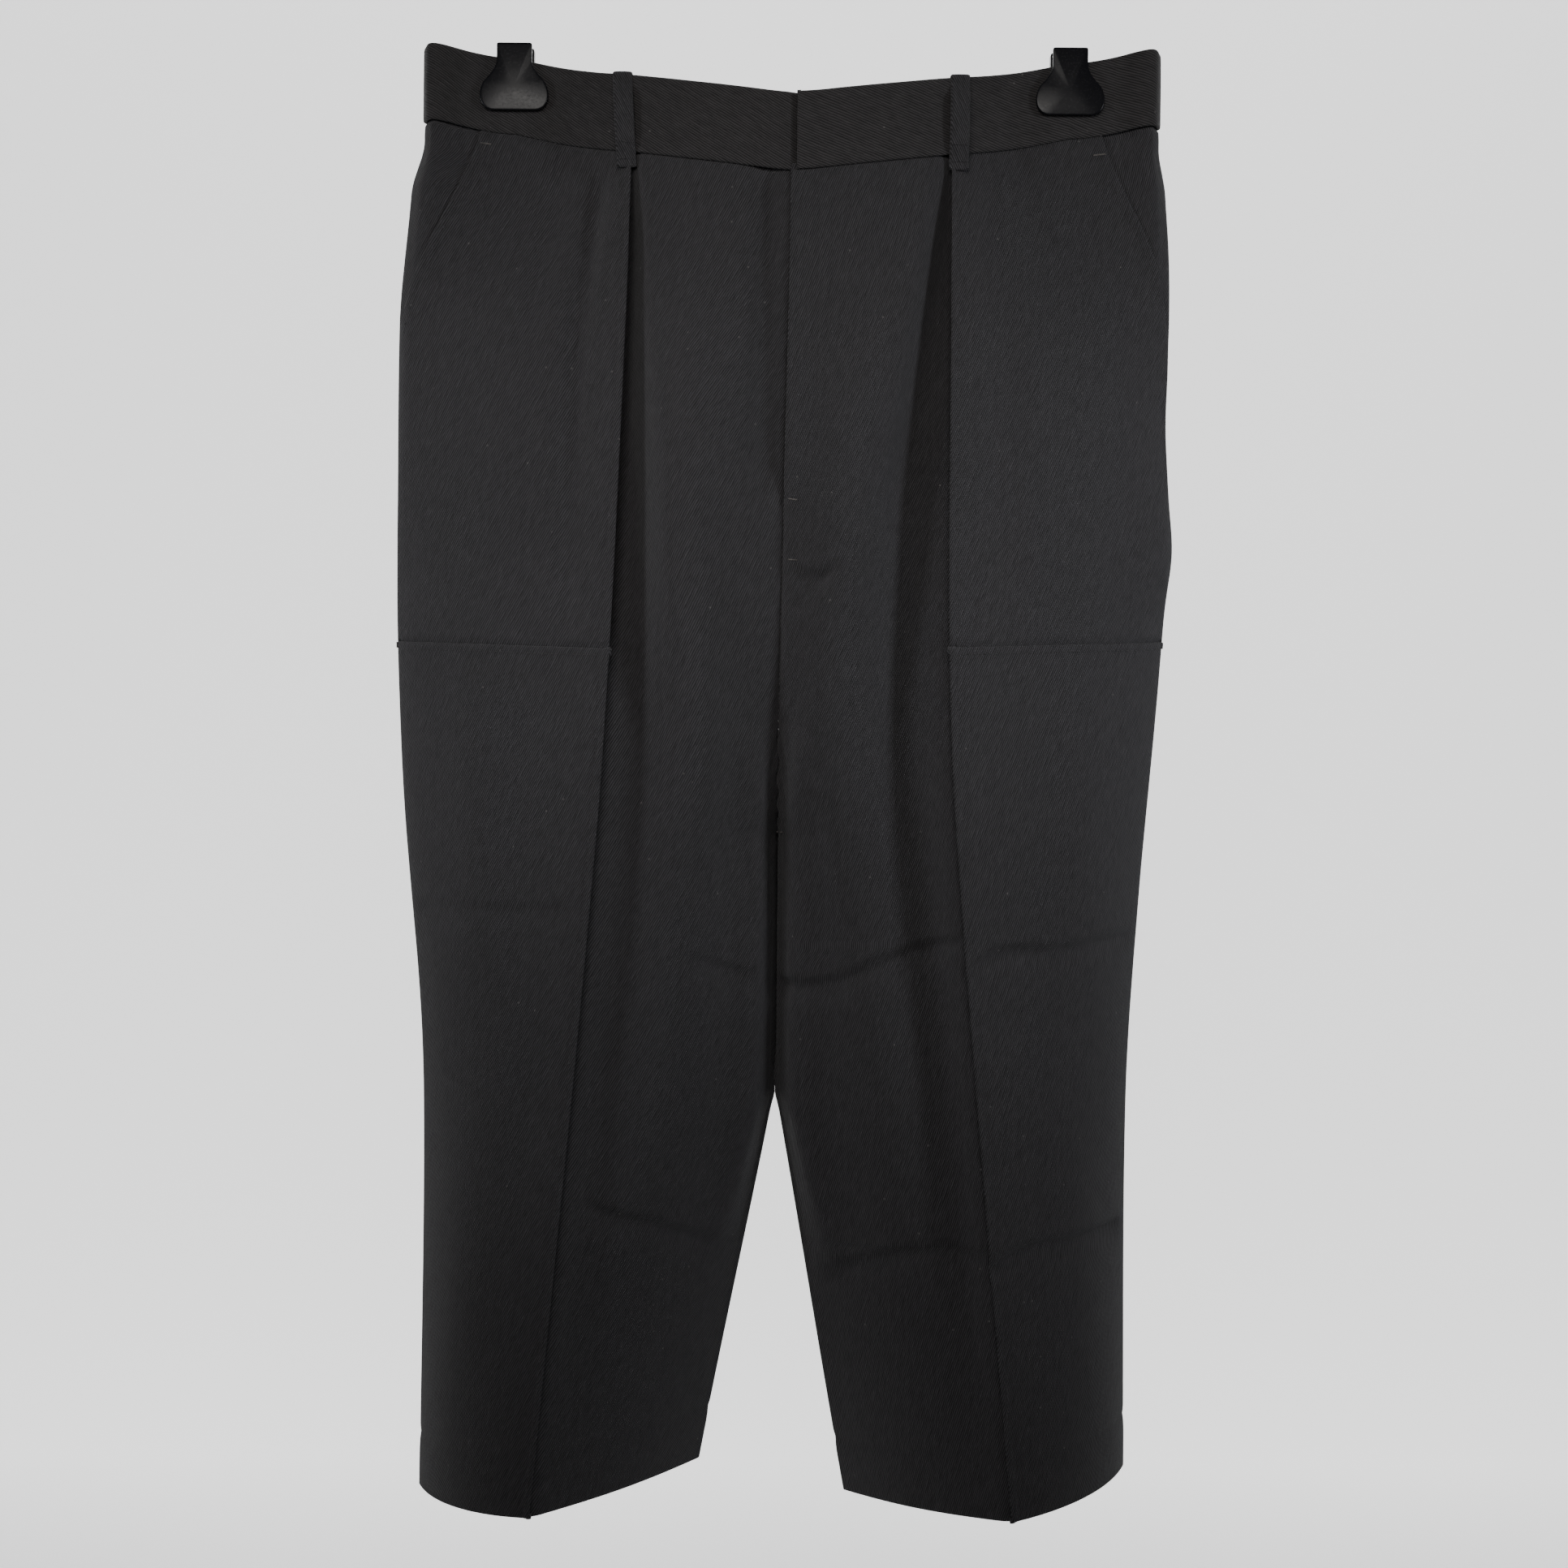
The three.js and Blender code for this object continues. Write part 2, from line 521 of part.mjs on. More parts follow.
addNode("zip_bottom_stop", box(
  [ZIP_X - teethEdge, ZIP_X + teethEdge], [chainY - 1.3, chainY + 1.3], [tapeBottom + 0.5, tapeBottom + 3.5],
), "zip");

const sliderTop = tapeTop - 4;
const sliderZ = [sliderTop - SLIDER_LENGTH, sliderTop];
const sliderX = [ZIP_X - SLIDER_WIDTH / 2, ZIP_X + SLIDER_WIDTH / 2];
const wallInner = TEETH_THICKNESS / 2 + GAP;
const web = CHAIN_GAP / 2 - GAP;
const lugY = chainY - sliderHalf - 1.3;
const lugZ = sliderTop - 3.2;
const lug = cut(
  join(
    box(sliderX, [chainY - sliderHalf, chainY - wallInner], sliderZ),
    box(sliderX, [chainY + wallInner, chainY + sliderHalf], sliderZ),
    box([ZIP_X - web, ZIP_X + web], [chainY - sliderHalf, chainY + sliderHalf], sliderZ),
    box([ZIP_X - 0.8, ZIP_X + 0.8], [lugY - 1.3, chainY - wallInner - 0.2], [lugZ - 1.5, lugZ + 1.5]),
  ),
  barAlongX(0.45 + GAP, ZIP_X - 2, ZIP_X + 2, lugY, lugZ, 16),
);
addNode("zip_slider", lug, "zip");
const earInner = 0.8 + GAP;
addNode("zip_pull", join(
  barAlongX(0.45, ZIP_X - 2.2, ZIP_X + 2.2, lugY, lugZ, 12),
  box([ZIP_X - 2.2, ZIP_X - earInner], [lugY - 0.5, lugY + 0.5], [lugZ - 4, lugZ + 0.9]),
  box([ZIP_X + earInner, ZIP_X + 2.2], [lugY - 0.5, lugY + 0.5], [lugZ - 4, lugZ + 0.9]),
  box([ZIP_X - 2.2, ZIP_X + 2.2], [lugY - 0.5, lugY + 0.5], [lugZ - PULL_LENGTH, lugZ - 3]),
), "zip");

const shieldY = chainY + sliderHalf + 0.6 + LINING;
const shieldSewn = (x) => -(waistY(x / CREASE_WAIST) - CLOTH / 2 - GAP - LINING);
addNode("fly_shield", ribbon(
  [[-40, shieldSewn(40)], [-30, shieldSewn(40) + 0.4], [-14, shieldY], [27, shieldY]],
  2 * LINING, tapeBottom, tapeTop - tapeBottom,
), "cloth");

const hookZ = -bandTop(0) - BAND_HEIGHT / 2;
const HOOK_END_X = 24;
const hookFace = -(waistY(HOOK_END_X / CREASE_WAIST) - LINED - LINING / 2);
const underlapFace = -(WAIST_BELLY - UNDERLAP_DEPTH + CLOTH / 2);
const HOOK = 0.6;
const hookPlate = hookFace + GAP + HOOK / 2;
const hookLip = hookPlate + 2.1;
addNode("waist_hook", ribbon(
  [[HOOK_END_X, hookPlate], [9.3, hookPlate], [9.3, hookLip], [15, hookLip]], HOOK, hookZ - 5, 10,
), "steel");
const barY = (hookPlate + hookLip) / 2;
addNode("waist_bar", ribbon(
  [[underlapFace - GAP, hookZ + 7], [barY, hookZ + 7], [barY, hookZ - 7], [underlapFace - GAP, hookZ - 7]],
  0.7, 11.5, 1.6,
).applyMatrix4(new THREE.Matrix4().set(0, 0, 1, 0, 1, 0, 0, 0, 0, 1, 0, 0, 0, 0, 0, 1)), "steel");

// ---------------------------------------------------------------- hanger clips
// Two bell-shaped jaws on a cross pin with a coil spring round it. The front jaw swings.
const jawFace = PINCH + CLOTH / 2 + GAP;
const knuckle = PIN_RADIUS + GAP + KNUCKLE_WALL;
function bellOutline(top) {
  const shape = new THREE.Shape();
  const [neck, wide, low] = [CLIP_NECK_WIDTH / 2, CLIP_PAD_WIDTH / 2, CLIP_PAD_DROP];
  shape.moveTo(-neck, -top);
  shape.lineTo(-neck, -BAND_TOP_DROP - 3);
  shape.quadraticCurveTo(-neck - 0.5, -BAND_TOP_DROP - 7, -wide + 3, -low + 16);
  shape.bezierCurveTo(-wide - 1, -low + 11, -wide - 1, -low, -wide + 8, -low);
  shape.lineTo(wide - 8, -low);
  shape.bezierCurveTo(wide + 1, -low, wide + 1, -low + 11, wide - 3, -low + 16);
  shape.quadraticCurveTo(neck + 0.5, -BAND_TOP_DROP - 7, neck, -BAND_TOP_DROP - 3);
  shape.lineTo(neck, -top);
  return shape;
}
// Knuckles at the given centres, each a web from the plate and a bored barrel.
function jaw(facing, centres, width, extra) {
  const inside = facing * jawFace;
  const flat = plate(bellOutline(1), CLIP_PLATE, facing < 0 ? inside - CLIP_PLATE : inside);
  const webY = [inside + facing * 0.1, facing * 0.4].sort((a, b) => a - b);
  const webZ = [-PIN_DROP - WEB_HALF, -PIN_DROP + WEB_HALF];
  const barrels = centres.flatMap((x) => [
    barAlongX(knuckle, x - width / 2, x + width / 2, 0, -PIN_DROP),
    box([x - width / 2, x + width / 2], webY, webZ),
  ]);
  const bore = barAlongX(PIN_RADIUS + GAP, -CLIP_NECK_WIDTH / 2, CLIP_NECK_WIDTH / 2, 0, -PIN_DROP);
  return cut(join(flat, ...extra, ...barrels), bore);
}
for (const [name, sign] of SIDES) {
  const x = sign * CLIP_X;
  const head = box([-9.2, 9.2], [jawFace + 0.5, jawFace + CLIP_HEAD_DEPTH], [-10, 0]);
  const parts = {
    front_jaw: [jaw(-1, [-7.2, 7.2], 2.8, []), "plastic"],
    rear_jaw: [jaw(1, [-4, 4], 2.6, [head]), "plastic"],
    pin: [barAlongX(PIN_RADIUS, -8.8, 8.8, 0, -PIN_DROP), "steel"],
    spring: [springRing(), "steel"],
  };
  for (const [piece, [geometry, look]] of Object.entries(parts)) {
    addNode(`clip_${piece}_${name}`, geometry.translate(x, 0, 0), look);
  }
}
// The spring's turns as one grooved ring round the pin.
function springRing() {
  const inner = PIN_RADIUS + GAP;
  const [low, high, turns, length] = [inner + 0.6, knuckle - 0.1, 4, 4.4];
  const profile = [new THREE.Vector2(inner, -length / 2)];
  for (let i = 0; i < turns; i += 1) {
    const z = -length / 2 + (i * length) / turns;
    profile.push(new THREE.Vector2(low, z));
    profile.push(new THREE.Vector2(high, z + length / turns / 2));
  }
  profile.push(new THREE.Vector2(low, length / 2));
  profile.push(new THREE.Vector2(inner, length / 2));
  profile.push(profile[0].clone());
  return new THREE.LatheGeometry(profile, 18).rotateZ(Math.PI / 2).translate(0, 0, -PIN_DROP);
}

export default garment;
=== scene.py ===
# %% [markdown]
# # Black pleated trousers on two hanger clips
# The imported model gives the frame: where each piece lies and which body it rides on. Here every piece
# gets the surface that a tailor would recognise: cloth with its folds, seams and stitches, a lined
# waistband, a zip and two glossy clips. Shapes are numpy surfaces in millimetres, written in two
# numbers: `u`, the way round a leg, and `drop`, the distance below the clips' flat tops.

# %% Load the frame
import json
import math
import bmesh
import bpy
import numpy as np
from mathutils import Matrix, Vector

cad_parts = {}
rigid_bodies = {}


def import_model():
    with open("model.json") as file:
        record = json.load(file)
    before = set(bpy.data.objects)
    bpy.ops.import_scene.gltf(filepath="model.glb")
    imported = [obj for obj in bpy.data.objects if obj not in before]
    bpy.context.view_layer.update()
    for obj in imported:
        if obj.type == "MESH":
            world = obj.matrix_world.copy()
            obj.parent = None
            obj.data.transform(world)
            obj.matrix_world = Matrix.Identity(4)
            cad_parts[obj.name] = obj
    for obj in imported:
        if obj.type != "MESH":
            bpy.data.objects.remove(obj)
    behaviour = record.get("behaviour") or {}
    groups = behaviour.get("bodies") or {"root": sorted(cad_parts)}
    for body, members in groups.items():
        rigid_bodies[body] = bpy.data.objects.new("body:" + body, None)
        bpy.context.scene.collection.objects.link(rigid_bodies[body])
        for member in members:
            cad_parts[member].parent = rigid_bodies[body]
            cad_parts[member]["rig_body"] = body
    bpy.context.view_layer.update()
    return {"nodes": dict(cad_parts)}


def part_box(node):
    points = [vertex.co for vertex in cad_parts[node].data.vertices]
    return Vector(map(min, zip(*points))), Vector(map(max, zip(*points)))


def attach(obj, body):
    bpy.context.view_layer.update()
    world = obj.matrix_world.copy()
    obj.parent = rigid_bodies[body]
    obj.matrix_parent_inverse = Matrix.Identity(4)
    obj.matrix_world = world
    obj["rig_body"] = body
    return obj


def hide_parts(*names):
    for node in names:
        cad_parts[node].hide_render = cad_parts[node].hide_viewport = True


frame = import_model()

# %% [markdown]
# ## Floor, camera and lamps
# A pale paper floor curves up into a wall, so there is no horizon. Only the wall glows, because light
# from below would wash out the hems and the folds. The camera looks almost level at the middle of
# the garment, so that its sides stay straight. One soft lamp above the camera lets the cloth fade
# towards the hems, and two dim lamps graze its sides; a grid narrows each of them.

# %% Backdrop
def new_mesh(name, points, faces, material=None):
    """A mesh object at the origin from an array of points, in metres, and an array of faces."""
    mesh = bpy.data.meshes.new(name)
    mesh.from_pydata(points.tolist(), [], faces.tolist())
    mesh.shade_smooth()
    if material:
        mesh.materials.append(material)
    piece = bpy.data.objects.new(name, mesh)
    bpy.context.scene.collection.objects.link(piece)
    return piece


def grid_faces(rows, columns, ring=False):
    """Quads of a grid of points numbered row by row; `ring` joins the last column to the first."""
    i = np.arange(rows - 1)[:, None]
    j = np.arange(columns if ring else columns - 1)[None, :]
    k = (j + 1) % columns
    above, below = i * columns, (i + 1) * columns
    return np.stack([above + j, below + j, below + k, above + k], -1).reshape(-1, 4)


FLOOR_Z, WALL_Y, WALL_TOP, SWEEP, PAPER_REACH = -1.45, 1.5, 3.5, 0.5, 4.0
turn = np.linspace(0, math.pi / 2, 24)
sweep_y = np.concatenate([[-PAPER_REACH], WALL_Y - SWEEP + SWEEP * np.sin(turn), [WALL_Y]])
sweep_z = np.concatenate([[FLOOR_Z], FLOOR_Z + SWEEP * (1 - np.cos(turn)), [WALL_TOP]])
wide = np.array([-PAPER_REACH, PAPER_REACH])
sweep = np.stack(np.broadcast_arrays(wide[None, :], sweep_y[:, None], sweep_z[:, None]), -1)
paper = bpy.data.materials.new("white_paper")
paper.use_nodes = True
paper_shader = paper.node_tree.nodes["Principled BSDF"]
for socket, value in (("Base Color", (0.93, 0.93, 0.93, 1)), ("Roughness", 0.9), ("Emission Strength", 1.15)):
    paper_shader.inputs[socket].default_value = value
where = paper.node_tree.nodes.new("ShaderNodeTexCoord")
apart = paper.node_tree.nodes.new("ShaderNodeSeparateXYZ")
glow = paper.node_tree.nodes.new("ShaderNodeMapRange")
for socket, value in (("From Min", FLOOR_Z), ("From Max", FLOOR_Z + SWEEP / 2)):
    glow.inputs[socket].default_value = value
paper.node_tree.links.new(where.outputs["Object"], apart.inputs[0])
paper.node_tree.links.new(apart.outputs["Z"], glow.inputs["Value"])
paper.node_tree.links.new(glow.outputs[0], paper_shader.inputs["Emission Color"])
backdrop = new_mesh("backdrop", sweep.reshape(-1, 3), grid_faces(len(sweep_y), 2)[:, ::-1], paper)
print("paper", len(backdrop.data.polygons), "faces, floor at", FLOOR_Z)

# %% Camera
CAMERA_X, CAMERA_BACK, CAMERA_Z, AIM_Z, ROLL = -0.001, 1.13, -0.3955, -0.3915, -0.009
camera = bpy.data.objects.new("camera", bpy.data.cameras.new("camera"))
bpy.context.scene.collection.objects.link(camera)
camera.location = (CAMERA_X, -CAMERA_BACK, CAMERA_Z)
camera.rotation_euler = (math.pi / 2 + math.atan2(AIM_Z - CAMERA_Z, CAMERA_BACK), ROLL, 0)
camera.data.lens = 48.9
bpy.context.scene.camera = camera
print("camera", CAMERA_BACK, "m away,", round(math.degrees(camera.data.angle), 1), "degrees wide")

# %% Lamps
def lamp(name, place, aim, size, power, colour, spread):
    """A soft rectangular lamp at `place` that faces `aim`, narrowed by a grid to `spread` degrees."""
    light = bpy.data.lights.new(name, "AREA")
    light.shape = "RECTANGLE"
    light.size, light.size_y = size
    light.energy = power
    light.color = colour
    light.spread = math.radians(spread)
    holder = bpy.data.objects.new(name, light)
    bpy.context.scene.collection.objects.link(holder)
    away = np.subtract(place, aim)
    level = math.hypot(away[0], away[1])
    holder.location = place
    holder.rotation_euler = (math.atan2(level, away[2]), 0, math.atan2(away[0], -away[1]))


lamp("front", (-0.08, -0.92, 0.08), (0.02, 0, -0.29), (0.55, 0.35), 1.95, (1.0, 0.965, 0.93), 82)
lamp("side_right", (-0.95, -0.50, -0.10), (-0.1, 0, -0.30), (0.15, 0.3), 0.7, (0.93, 0.955, 1.0), 56)
lamp("side_left", (0.95, -0.50, -0.10), (0.1, 0, -0.30), (0.15, 0.3), 0.95, (0.92, 0.95, 1.0), 56)
lamp("wall_wash", (0, 0.9, 2.2), (0, 1.5, -0.5), (3.0, 0.5), 20, (1, 1, 1), 84)
world = bpy.data.worlds.new("room")
world.use_nodes = True
room_light = world.node_tree.nodes["Background"].inputs
room_light["Color"].default_value = (0.82, 0.86, 0.92, 1)
room_light["Strength"].default_value = 0.055
bpy.context.scene.world = world
print("lamps", [light.name for light in bpy.data.lights])

# %% [markdown]
# ## Measures
# The trousers are cut from one set of measures, so every panel meets its neighbour on the same line.
# The ends of each curve come from the frame; the curves between them are a few listed points joined
# by a smooth line, the way a cutter draws with a curved ruler.

# %% Driving dimensions, in millimetres
MM = 0.001
LEG_DROP = -float(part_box("back_panel_left")[0][2]) / MM
CROTCH_DROP, LEGS_PART_DROP, THIGH_SEAM_DROP, FLY_DROP = 418, 555, 321, 245
HIP_HALF, KNEE_HALF, HEM_HALF, HEM_INNER = 203, 190, 186, 38
WAIST_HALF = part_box("waistband_left")[1][0] / MM - 0.6
WAIST_BELLY, SEAT_BELLY, HEM_CREASE_DEPTH, WAIST_SAG, SIDE_RISE = 34, 42, 72, 27, 6
BAND_HEIGHT, BAND_TOP_DROP, LEAN = 40, 8, 4.5
CREASE_WAIST, CREASE_HEM = 84, 120
CUT_TOP = 44  # where the panels' own curves begin, hidden behind the band
INSEAM_TOP = CROTCH_DROP - 60  # above here the two halves share a centre seam
CLIP_X = sum(c[0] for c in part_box("clip_pin_left")) / 2 / MM
PAD_EDGE, PINCH = 21.5, 3.2
UNDERLAP, UNDERLAP_DEPTH = 35, 8.5
CLOTH, LINING, BEHIND_CLOTH = 0.9, 0.5, -1.75
print("hem", round(LEG_DROP), "waist half", round(WAIST_HALF, 1), "clip at", round(CLIP_X, 1))

# %% Curves
def curve_through(*knots):
    """A smooth curve through knots (at, value): cubic pieces whose slope at each knot is the chord
    between its neighbours, flat beyond the ends."""
    at, value = np.array(knots, float).T
    before, after = np.maximum(np.arange(len(at)) - 1, 0), np.minimum(np.arange(len(at)) + 1, len(at) - 1)
    slope = (value[after] - value[before]) / (at[after] - at[before])

    def curve(t):
        t = np.clip(t, at[0], at[-1])
        i = np.clip(np.searchsorted(at, t, side="right") - 1, 0, len(at) - 2)
        span = at[i + 1] - at[i]
        s = (t - at[i]) / span
        bend = span * (slope[i] * s * (1 - s) ** 2 - slope[i + 1] * s * s * (1 - s))
        return value[i] + (value[i + 1] - value[i]) * s * s * (3 - 2 * s) + bend
    return curve


def smooth(a, b, x):
    """0 up to a, 1 from b on, and the smooth step 3t^2 - 2t^3 between."""
    t = np.clip((np.asarray(x, float) - a) / (b - a), 0, 1)
    return t * t * (3 - 2 * t)


def mix(a, b, t):
    """The value a share t of the way from a to b."""
    return a + (b - a) * t


def hump(x, centre, width):
    """A round hump of height 1, exp(-((x - centre) / width)^2)."""
    return np.exp(-(((x - centre) / width) ** 2))


def window(x, start, full, fade, end):
    """0 before start, 1 from full to fade, and 0 after end."""
    return smooth(start, full, x) * (1 - smooth(fade, end, x))


side_x = curve_through(
    (CUT_TOP, WAIST_HALF), (90, HIP_HALF - 4), (250, HIP_HALF + 1), (330, HIP_HALF - 1),
    (LEGS_PART_DROP - 105, KNEE_HALF + 2), (LEGS_PART_DROP, KNEE_HALF - 4), (LEG_DROP, HEM_HALF))
crease_x = curve_through(
    (CUT_TOP, CREASE_WAIST), (200, CREASE_WAIST + 1), (THIGH_SEAM_DROP, CREASE_WAIST + 3),
    (CROTCH_DROP, CREASE_WAIST + 7.5), (LEG_DROP, CREASE_HEM))
crease_depth = {
    face: curve_through((CUT_TOP, WAIST_BELLY / 2), (120, belly), (220, seat), (CROTCH_DROP, thigh),
                        (LEG_DROP, HEM_CREASE_DEPTH))
    for face, belly, seat, thigh in (("front", 27, 36, 51), ("back", 32, 45, 56))
}
waist_x = curve_through(
    (0, 0), (0.34, CREASE_WAIST * 0.34), (0.67, CREASE_WAIST * 0.67), (1, CREASE_WAIST),
    (1.2, (CREASE_WAIST + CLIP_X - PAD_EDGE) / 2), (1.4, CLIP_X - PAD_EDGE), (1.6, CLIP_X),
    (1.8, CLIP_X + PAD_EDGE), (1.92, WAIST_HALF - 5), (2, WAIST_HALF))
waist_y = curve_through(
    (0, WAIST_BELLY), (0.34, WAIST_BELLY * 0.93), (0.67, WAIST_BELLY * 0.75), (1, WAIST_BELLY / 2),
    (1.2, WAIST_BELLY * 0.24), (1.38, PINCH), (1.82, PINCH), (1.92, 8), (2, 0))


def lean(drop):
    """The centre line drifts to the wearer's right on the way down to the crotch."""
    return -LEAN * smooth(60, 400, drop)


def band_top(x):
    """Drop of the band's top edge: it sags as 1 - |x|^1.2 from a clip to the centre, and rises a
    little from the clip to the side."""
    sag = WAIST_SAG * (1 - np.minimum(np.abs(x) / CLIP_X, 1) ** 1.2)
    return BAND_TOP_DROP + sag - SIDE_RISE * smooth(CLIP_X, WAIST_HALF, np.abs(x))


def centre_depth(face, drop):
    """Depth of the centre seam: straight down the fly or seat, then a rounded curve to the crotch that
    reaches it at a slope, as hanging cloth does."""
    start = FLY_DROP + 25 if face == "front" else 215
    full = WAIST_BELLY if face == "front" else SEAT_BELLY
    curved = np.clip((drop - start) / (CROTCH_DROP - start), 0, 1)
    return mix(WAIST_BELLY, full, smooth(60, start, drop)) * (1 - curved**2.2) ** 0.95


print("half width at the hips", round(float(side_x(250))), "and the hem", round(float(side_x(LEG_DROP))))

# %% [markdown]
# ## One half of the trousers
# A leg cut across is a closed loop with a sharp front crease, a sharp back crease and two soft sides.
# It could be modelled by pushing a cylinder about, but then every panel edge would have to be found
# again by eye. Here the loop is a formula in `u`: 0 at the centre seam, 1 at the crease and 2 at the
# side seam. A panel is then just a range of `u` and `drop`, and neighbours meet without a gap.

# %% Cross section of one half
def inseam_x(drop):
    """How far the inseam has moved from the centre line: 0 until the legs part, then a straight line."""
    return HEM_INNER * np.maximum(0, drop - LEGS_PART_DROP) / (LEG_DROP - LEGS_PART_DROP)


def section(face, u, drop, outer=None):
    """Middle of the cloth for u from 0 at the centre to 1 at the crease and 2 at the side: a line with
    a sine bulge on the inner half, a mix of a line and a quarter ellipse on the outer half, and the
    waist's own plan just below the band. Away from the centre seam the crotch curve eases, so that no
    line crosses the leg. `outer` forces one of the two halves past the crease."""
    outer = u > 1 if outer is None else outer
    depth, cx, v = crease_depth[face](drop), crease_x(drop), np.minimum(u - 1, 1)
    x0 = (1.2 + inseam_x(drop)) * smooth(INSEAM_TOP, CROTCH_DROP, drop)
    eased = (WAIST_BELLY if face == "front" else SEAT_BELLY) * (1 - smooth(240, CROTCH_DROP + 80, drop))
    y0 = mix(centre_depth(face, drop), eased, smooth(0, 0.4, u) * smooth(235, 300, drop))
    length = np.hypot(cx - x0, depth - y0)
    fullness = smooth(44, 250, drop) * (1 - 0.45 * smooth(450, LEG_DROP, drop))
    within = np.clip(u, 0, 1)
    bulge = 9 * fullness * np.sin(np.pi * within)
    inner_x = mix(x0, cx, u) - bulge * (depth - y0) / length
    inner_y = mix(y0, depth, within) + bulge * (cx - x0) / length
    outer_x = mix(cx, side_x(drop), mix(v, np.sin(v * np.pi / 2), 0.55))
    outer_y = depth * mix(1 - v, np.cos(v * np.pi / 2), 0.55)
    x, y = np.where(outer, outer_x, inner_x), np.where(outer, outer_y, inner_y)
    plan_x = waist_x(u) + np.minimum(u, 0) * CREASE_WAIST
    pinched = 1 - smooth(0, 110, drop - band_top(plan_x) - BAND_HEIGHT)
    return mix(x, plan_x, pinched), mix(y, waist_y(u), pinched)


def outward(face, u, drop, outer=None):
    """Unit normal of the section from a short chord. It turns to straight forwards beside the crease,
    straight sideways at the side seam, and to the inseam's own way at the centre, so that two panels
    moved out by the same amount still meet."""
    (x0, y0), (x1, y1) = section(face, u - 0.004, drop, outer), section(face, u + 0.004, drop, outer)
    length = np.hypot(x1 - x0, y1 - y0)
    nx, ny = -(y1 - y0) / length, (x1 - x0) / length
    inseam = smooth(INSEAM_TOP, CROTCH_DROP, drop)
    beside_crease = 0 if outer else window(u, 0.7, 1, 1.06, 1.3)
    nx, ny = mix(nx, 0, beside_crease), mix(ny, 1, beside_crease)
    at_centre, at_side = 1 - smooth(0, 0.08, u), smooth(1.92, 2, u)
    nx, ny = mix(nx, -inseam, at_centre), mix(ny, 1 - inseam, at_centre)
    nx, ny = mix(nx, 1, at_side), mix(ny, 0, at_side)
    length = np.hypot(nx, ny)
    return nx / length, ny / length


def tilt(sign, u, x, drop):
    """Rise of the cloth where a leg hangs a little askew: both hems slope up to the wearer's left, and
    each thigh seam turns about its middle."""
    hem = 0.10 * sign * (x - crease_x(drop)) * smooth(LEGS_PART_DROP + 5, LEG_DROP, drop)
    at_crease, at_side = (-3.0, 3.0) if sign < 0 else (-1.0, 6.0)
    seam = np.where(u < 1, at_crease * u, mix(at_crease, at_side, np.clip(u - 1, 0, 1)))
    return hem + seam * hump(drop, THIGH_SEAM_DROP, 55)


def place(face, sign, u, drop, lift, outer=None):
    """Points of one half's surface, moved outwards by `lift`. `sign` is 1 for the wearer's left. From the
    crotch to where the legs part, the two inseams press flat on each other along a wavy line."""
    u, drop, lift = np.broadcast_arrays(np.asarray(u, float), drop, lift)
    x, y = section(face, u, drop, outer)
    nx, ny = outward(face, u, drop, outer)
    front = -1 if face == "front" else 1
    y = front * (y + ny * lift)
    touching = window(drop, CROTCH_DROP - 66, CROTCH_DROP - 34, LEGS_PART_DROP - 30, LEGS_PART_DROP + 12)
    x = x + nx * (lift + 3.4 * touching * hump(u, 0, 0.06))
    x = np.where(touching > 0, np.maximum(x, 0.12 * touching), x)
    shared = 0.9 * touching * np.sin(1.3 * y) * hump(x, 0, 5)
    return np.stack([sign * x + shared + lean(drop), y, tilt(sign, u, x, drop) - drop], -1)


def band_bottom(u):
    """Drop of the band's lower edge."""
    return band_top(waist_x(u)) + BAND_HEIGHT


knee = place("front", 1, 1.0, 550.0, 0.0)
print("the left crease at the knee lies at", knee.round(1))

# %% [markdown]
# ## How the cloth hangs
# A pressed crease on these trousers is not a plain fold: the outer panel's bound edge laps over the
# inner one, so the inner cloth drops into a shadow beside it and then rolls forward again. Lower down
# the weight of the leg pulls everything flat, and a few short creases run across at the crotch and
# the knee. Each of these is a small height added to the smooth section, in millimetres.

# %% Folds and creases
def from_crease(u, drop):
    """Distance along the cloth from the crease, for either side of it."""
    cx, depth = crease_x(drop), crease_depth["front"](drop)
    inner = np.hypot(cx - inseam_x(drop), depth - centre_depth("front", drop)) * (1 - u)
    return np.where(u <= 1, inner, (u - 1) * 1.08 * np.hypot(side_x(drop) - cx, 0.4 * depth))


def valley(x, drop, depth, *knots, fade=12):
    """A crease across the cloth along a line through knots (x, drop): steep above, gentle below, and
    running out over `fade` at both ends."""
    line = curve_through(*knots)
    below = drop - line(x)
    shape = hump(below, 0, np.where(below < 0, 2.2, 8.0))
    first, last = knots[0][0], knots[-1][0]
    return -depth * shape * window(x, first - fade, first + fade, last - fade, last + fade)


def creases(x, drop):
    """The short creases of both legs, by place across the whole garment."""
    return (
        valley(x, drop, 1.2, (-196, 455), (-160, 457), (-112, 456))
        + valley(x, drop, 2.6, (-98, 607), (-66, 618), (-34, 633), fade=16)
        + valley(x, drop, 1.5, (-48, 482), (-20, 491), fade=9)
        + valley(x, drop, 2.8, (-6, 496), (24, 494), (60, 477), (88, 471), fade=10)
        + valley(x, drop, 2.4, (95, 483), (110, 476), (143, 475), (181, 468))
        + valley(x, drop, 3.0, (27, 640), (49, 633), (71, 626), (87, 626), (106, 633), fade=8)
        + valley(x, drop, 2.6, (109, 631), (123, 625), (151, 623), (177, 620), fade=9)
    )


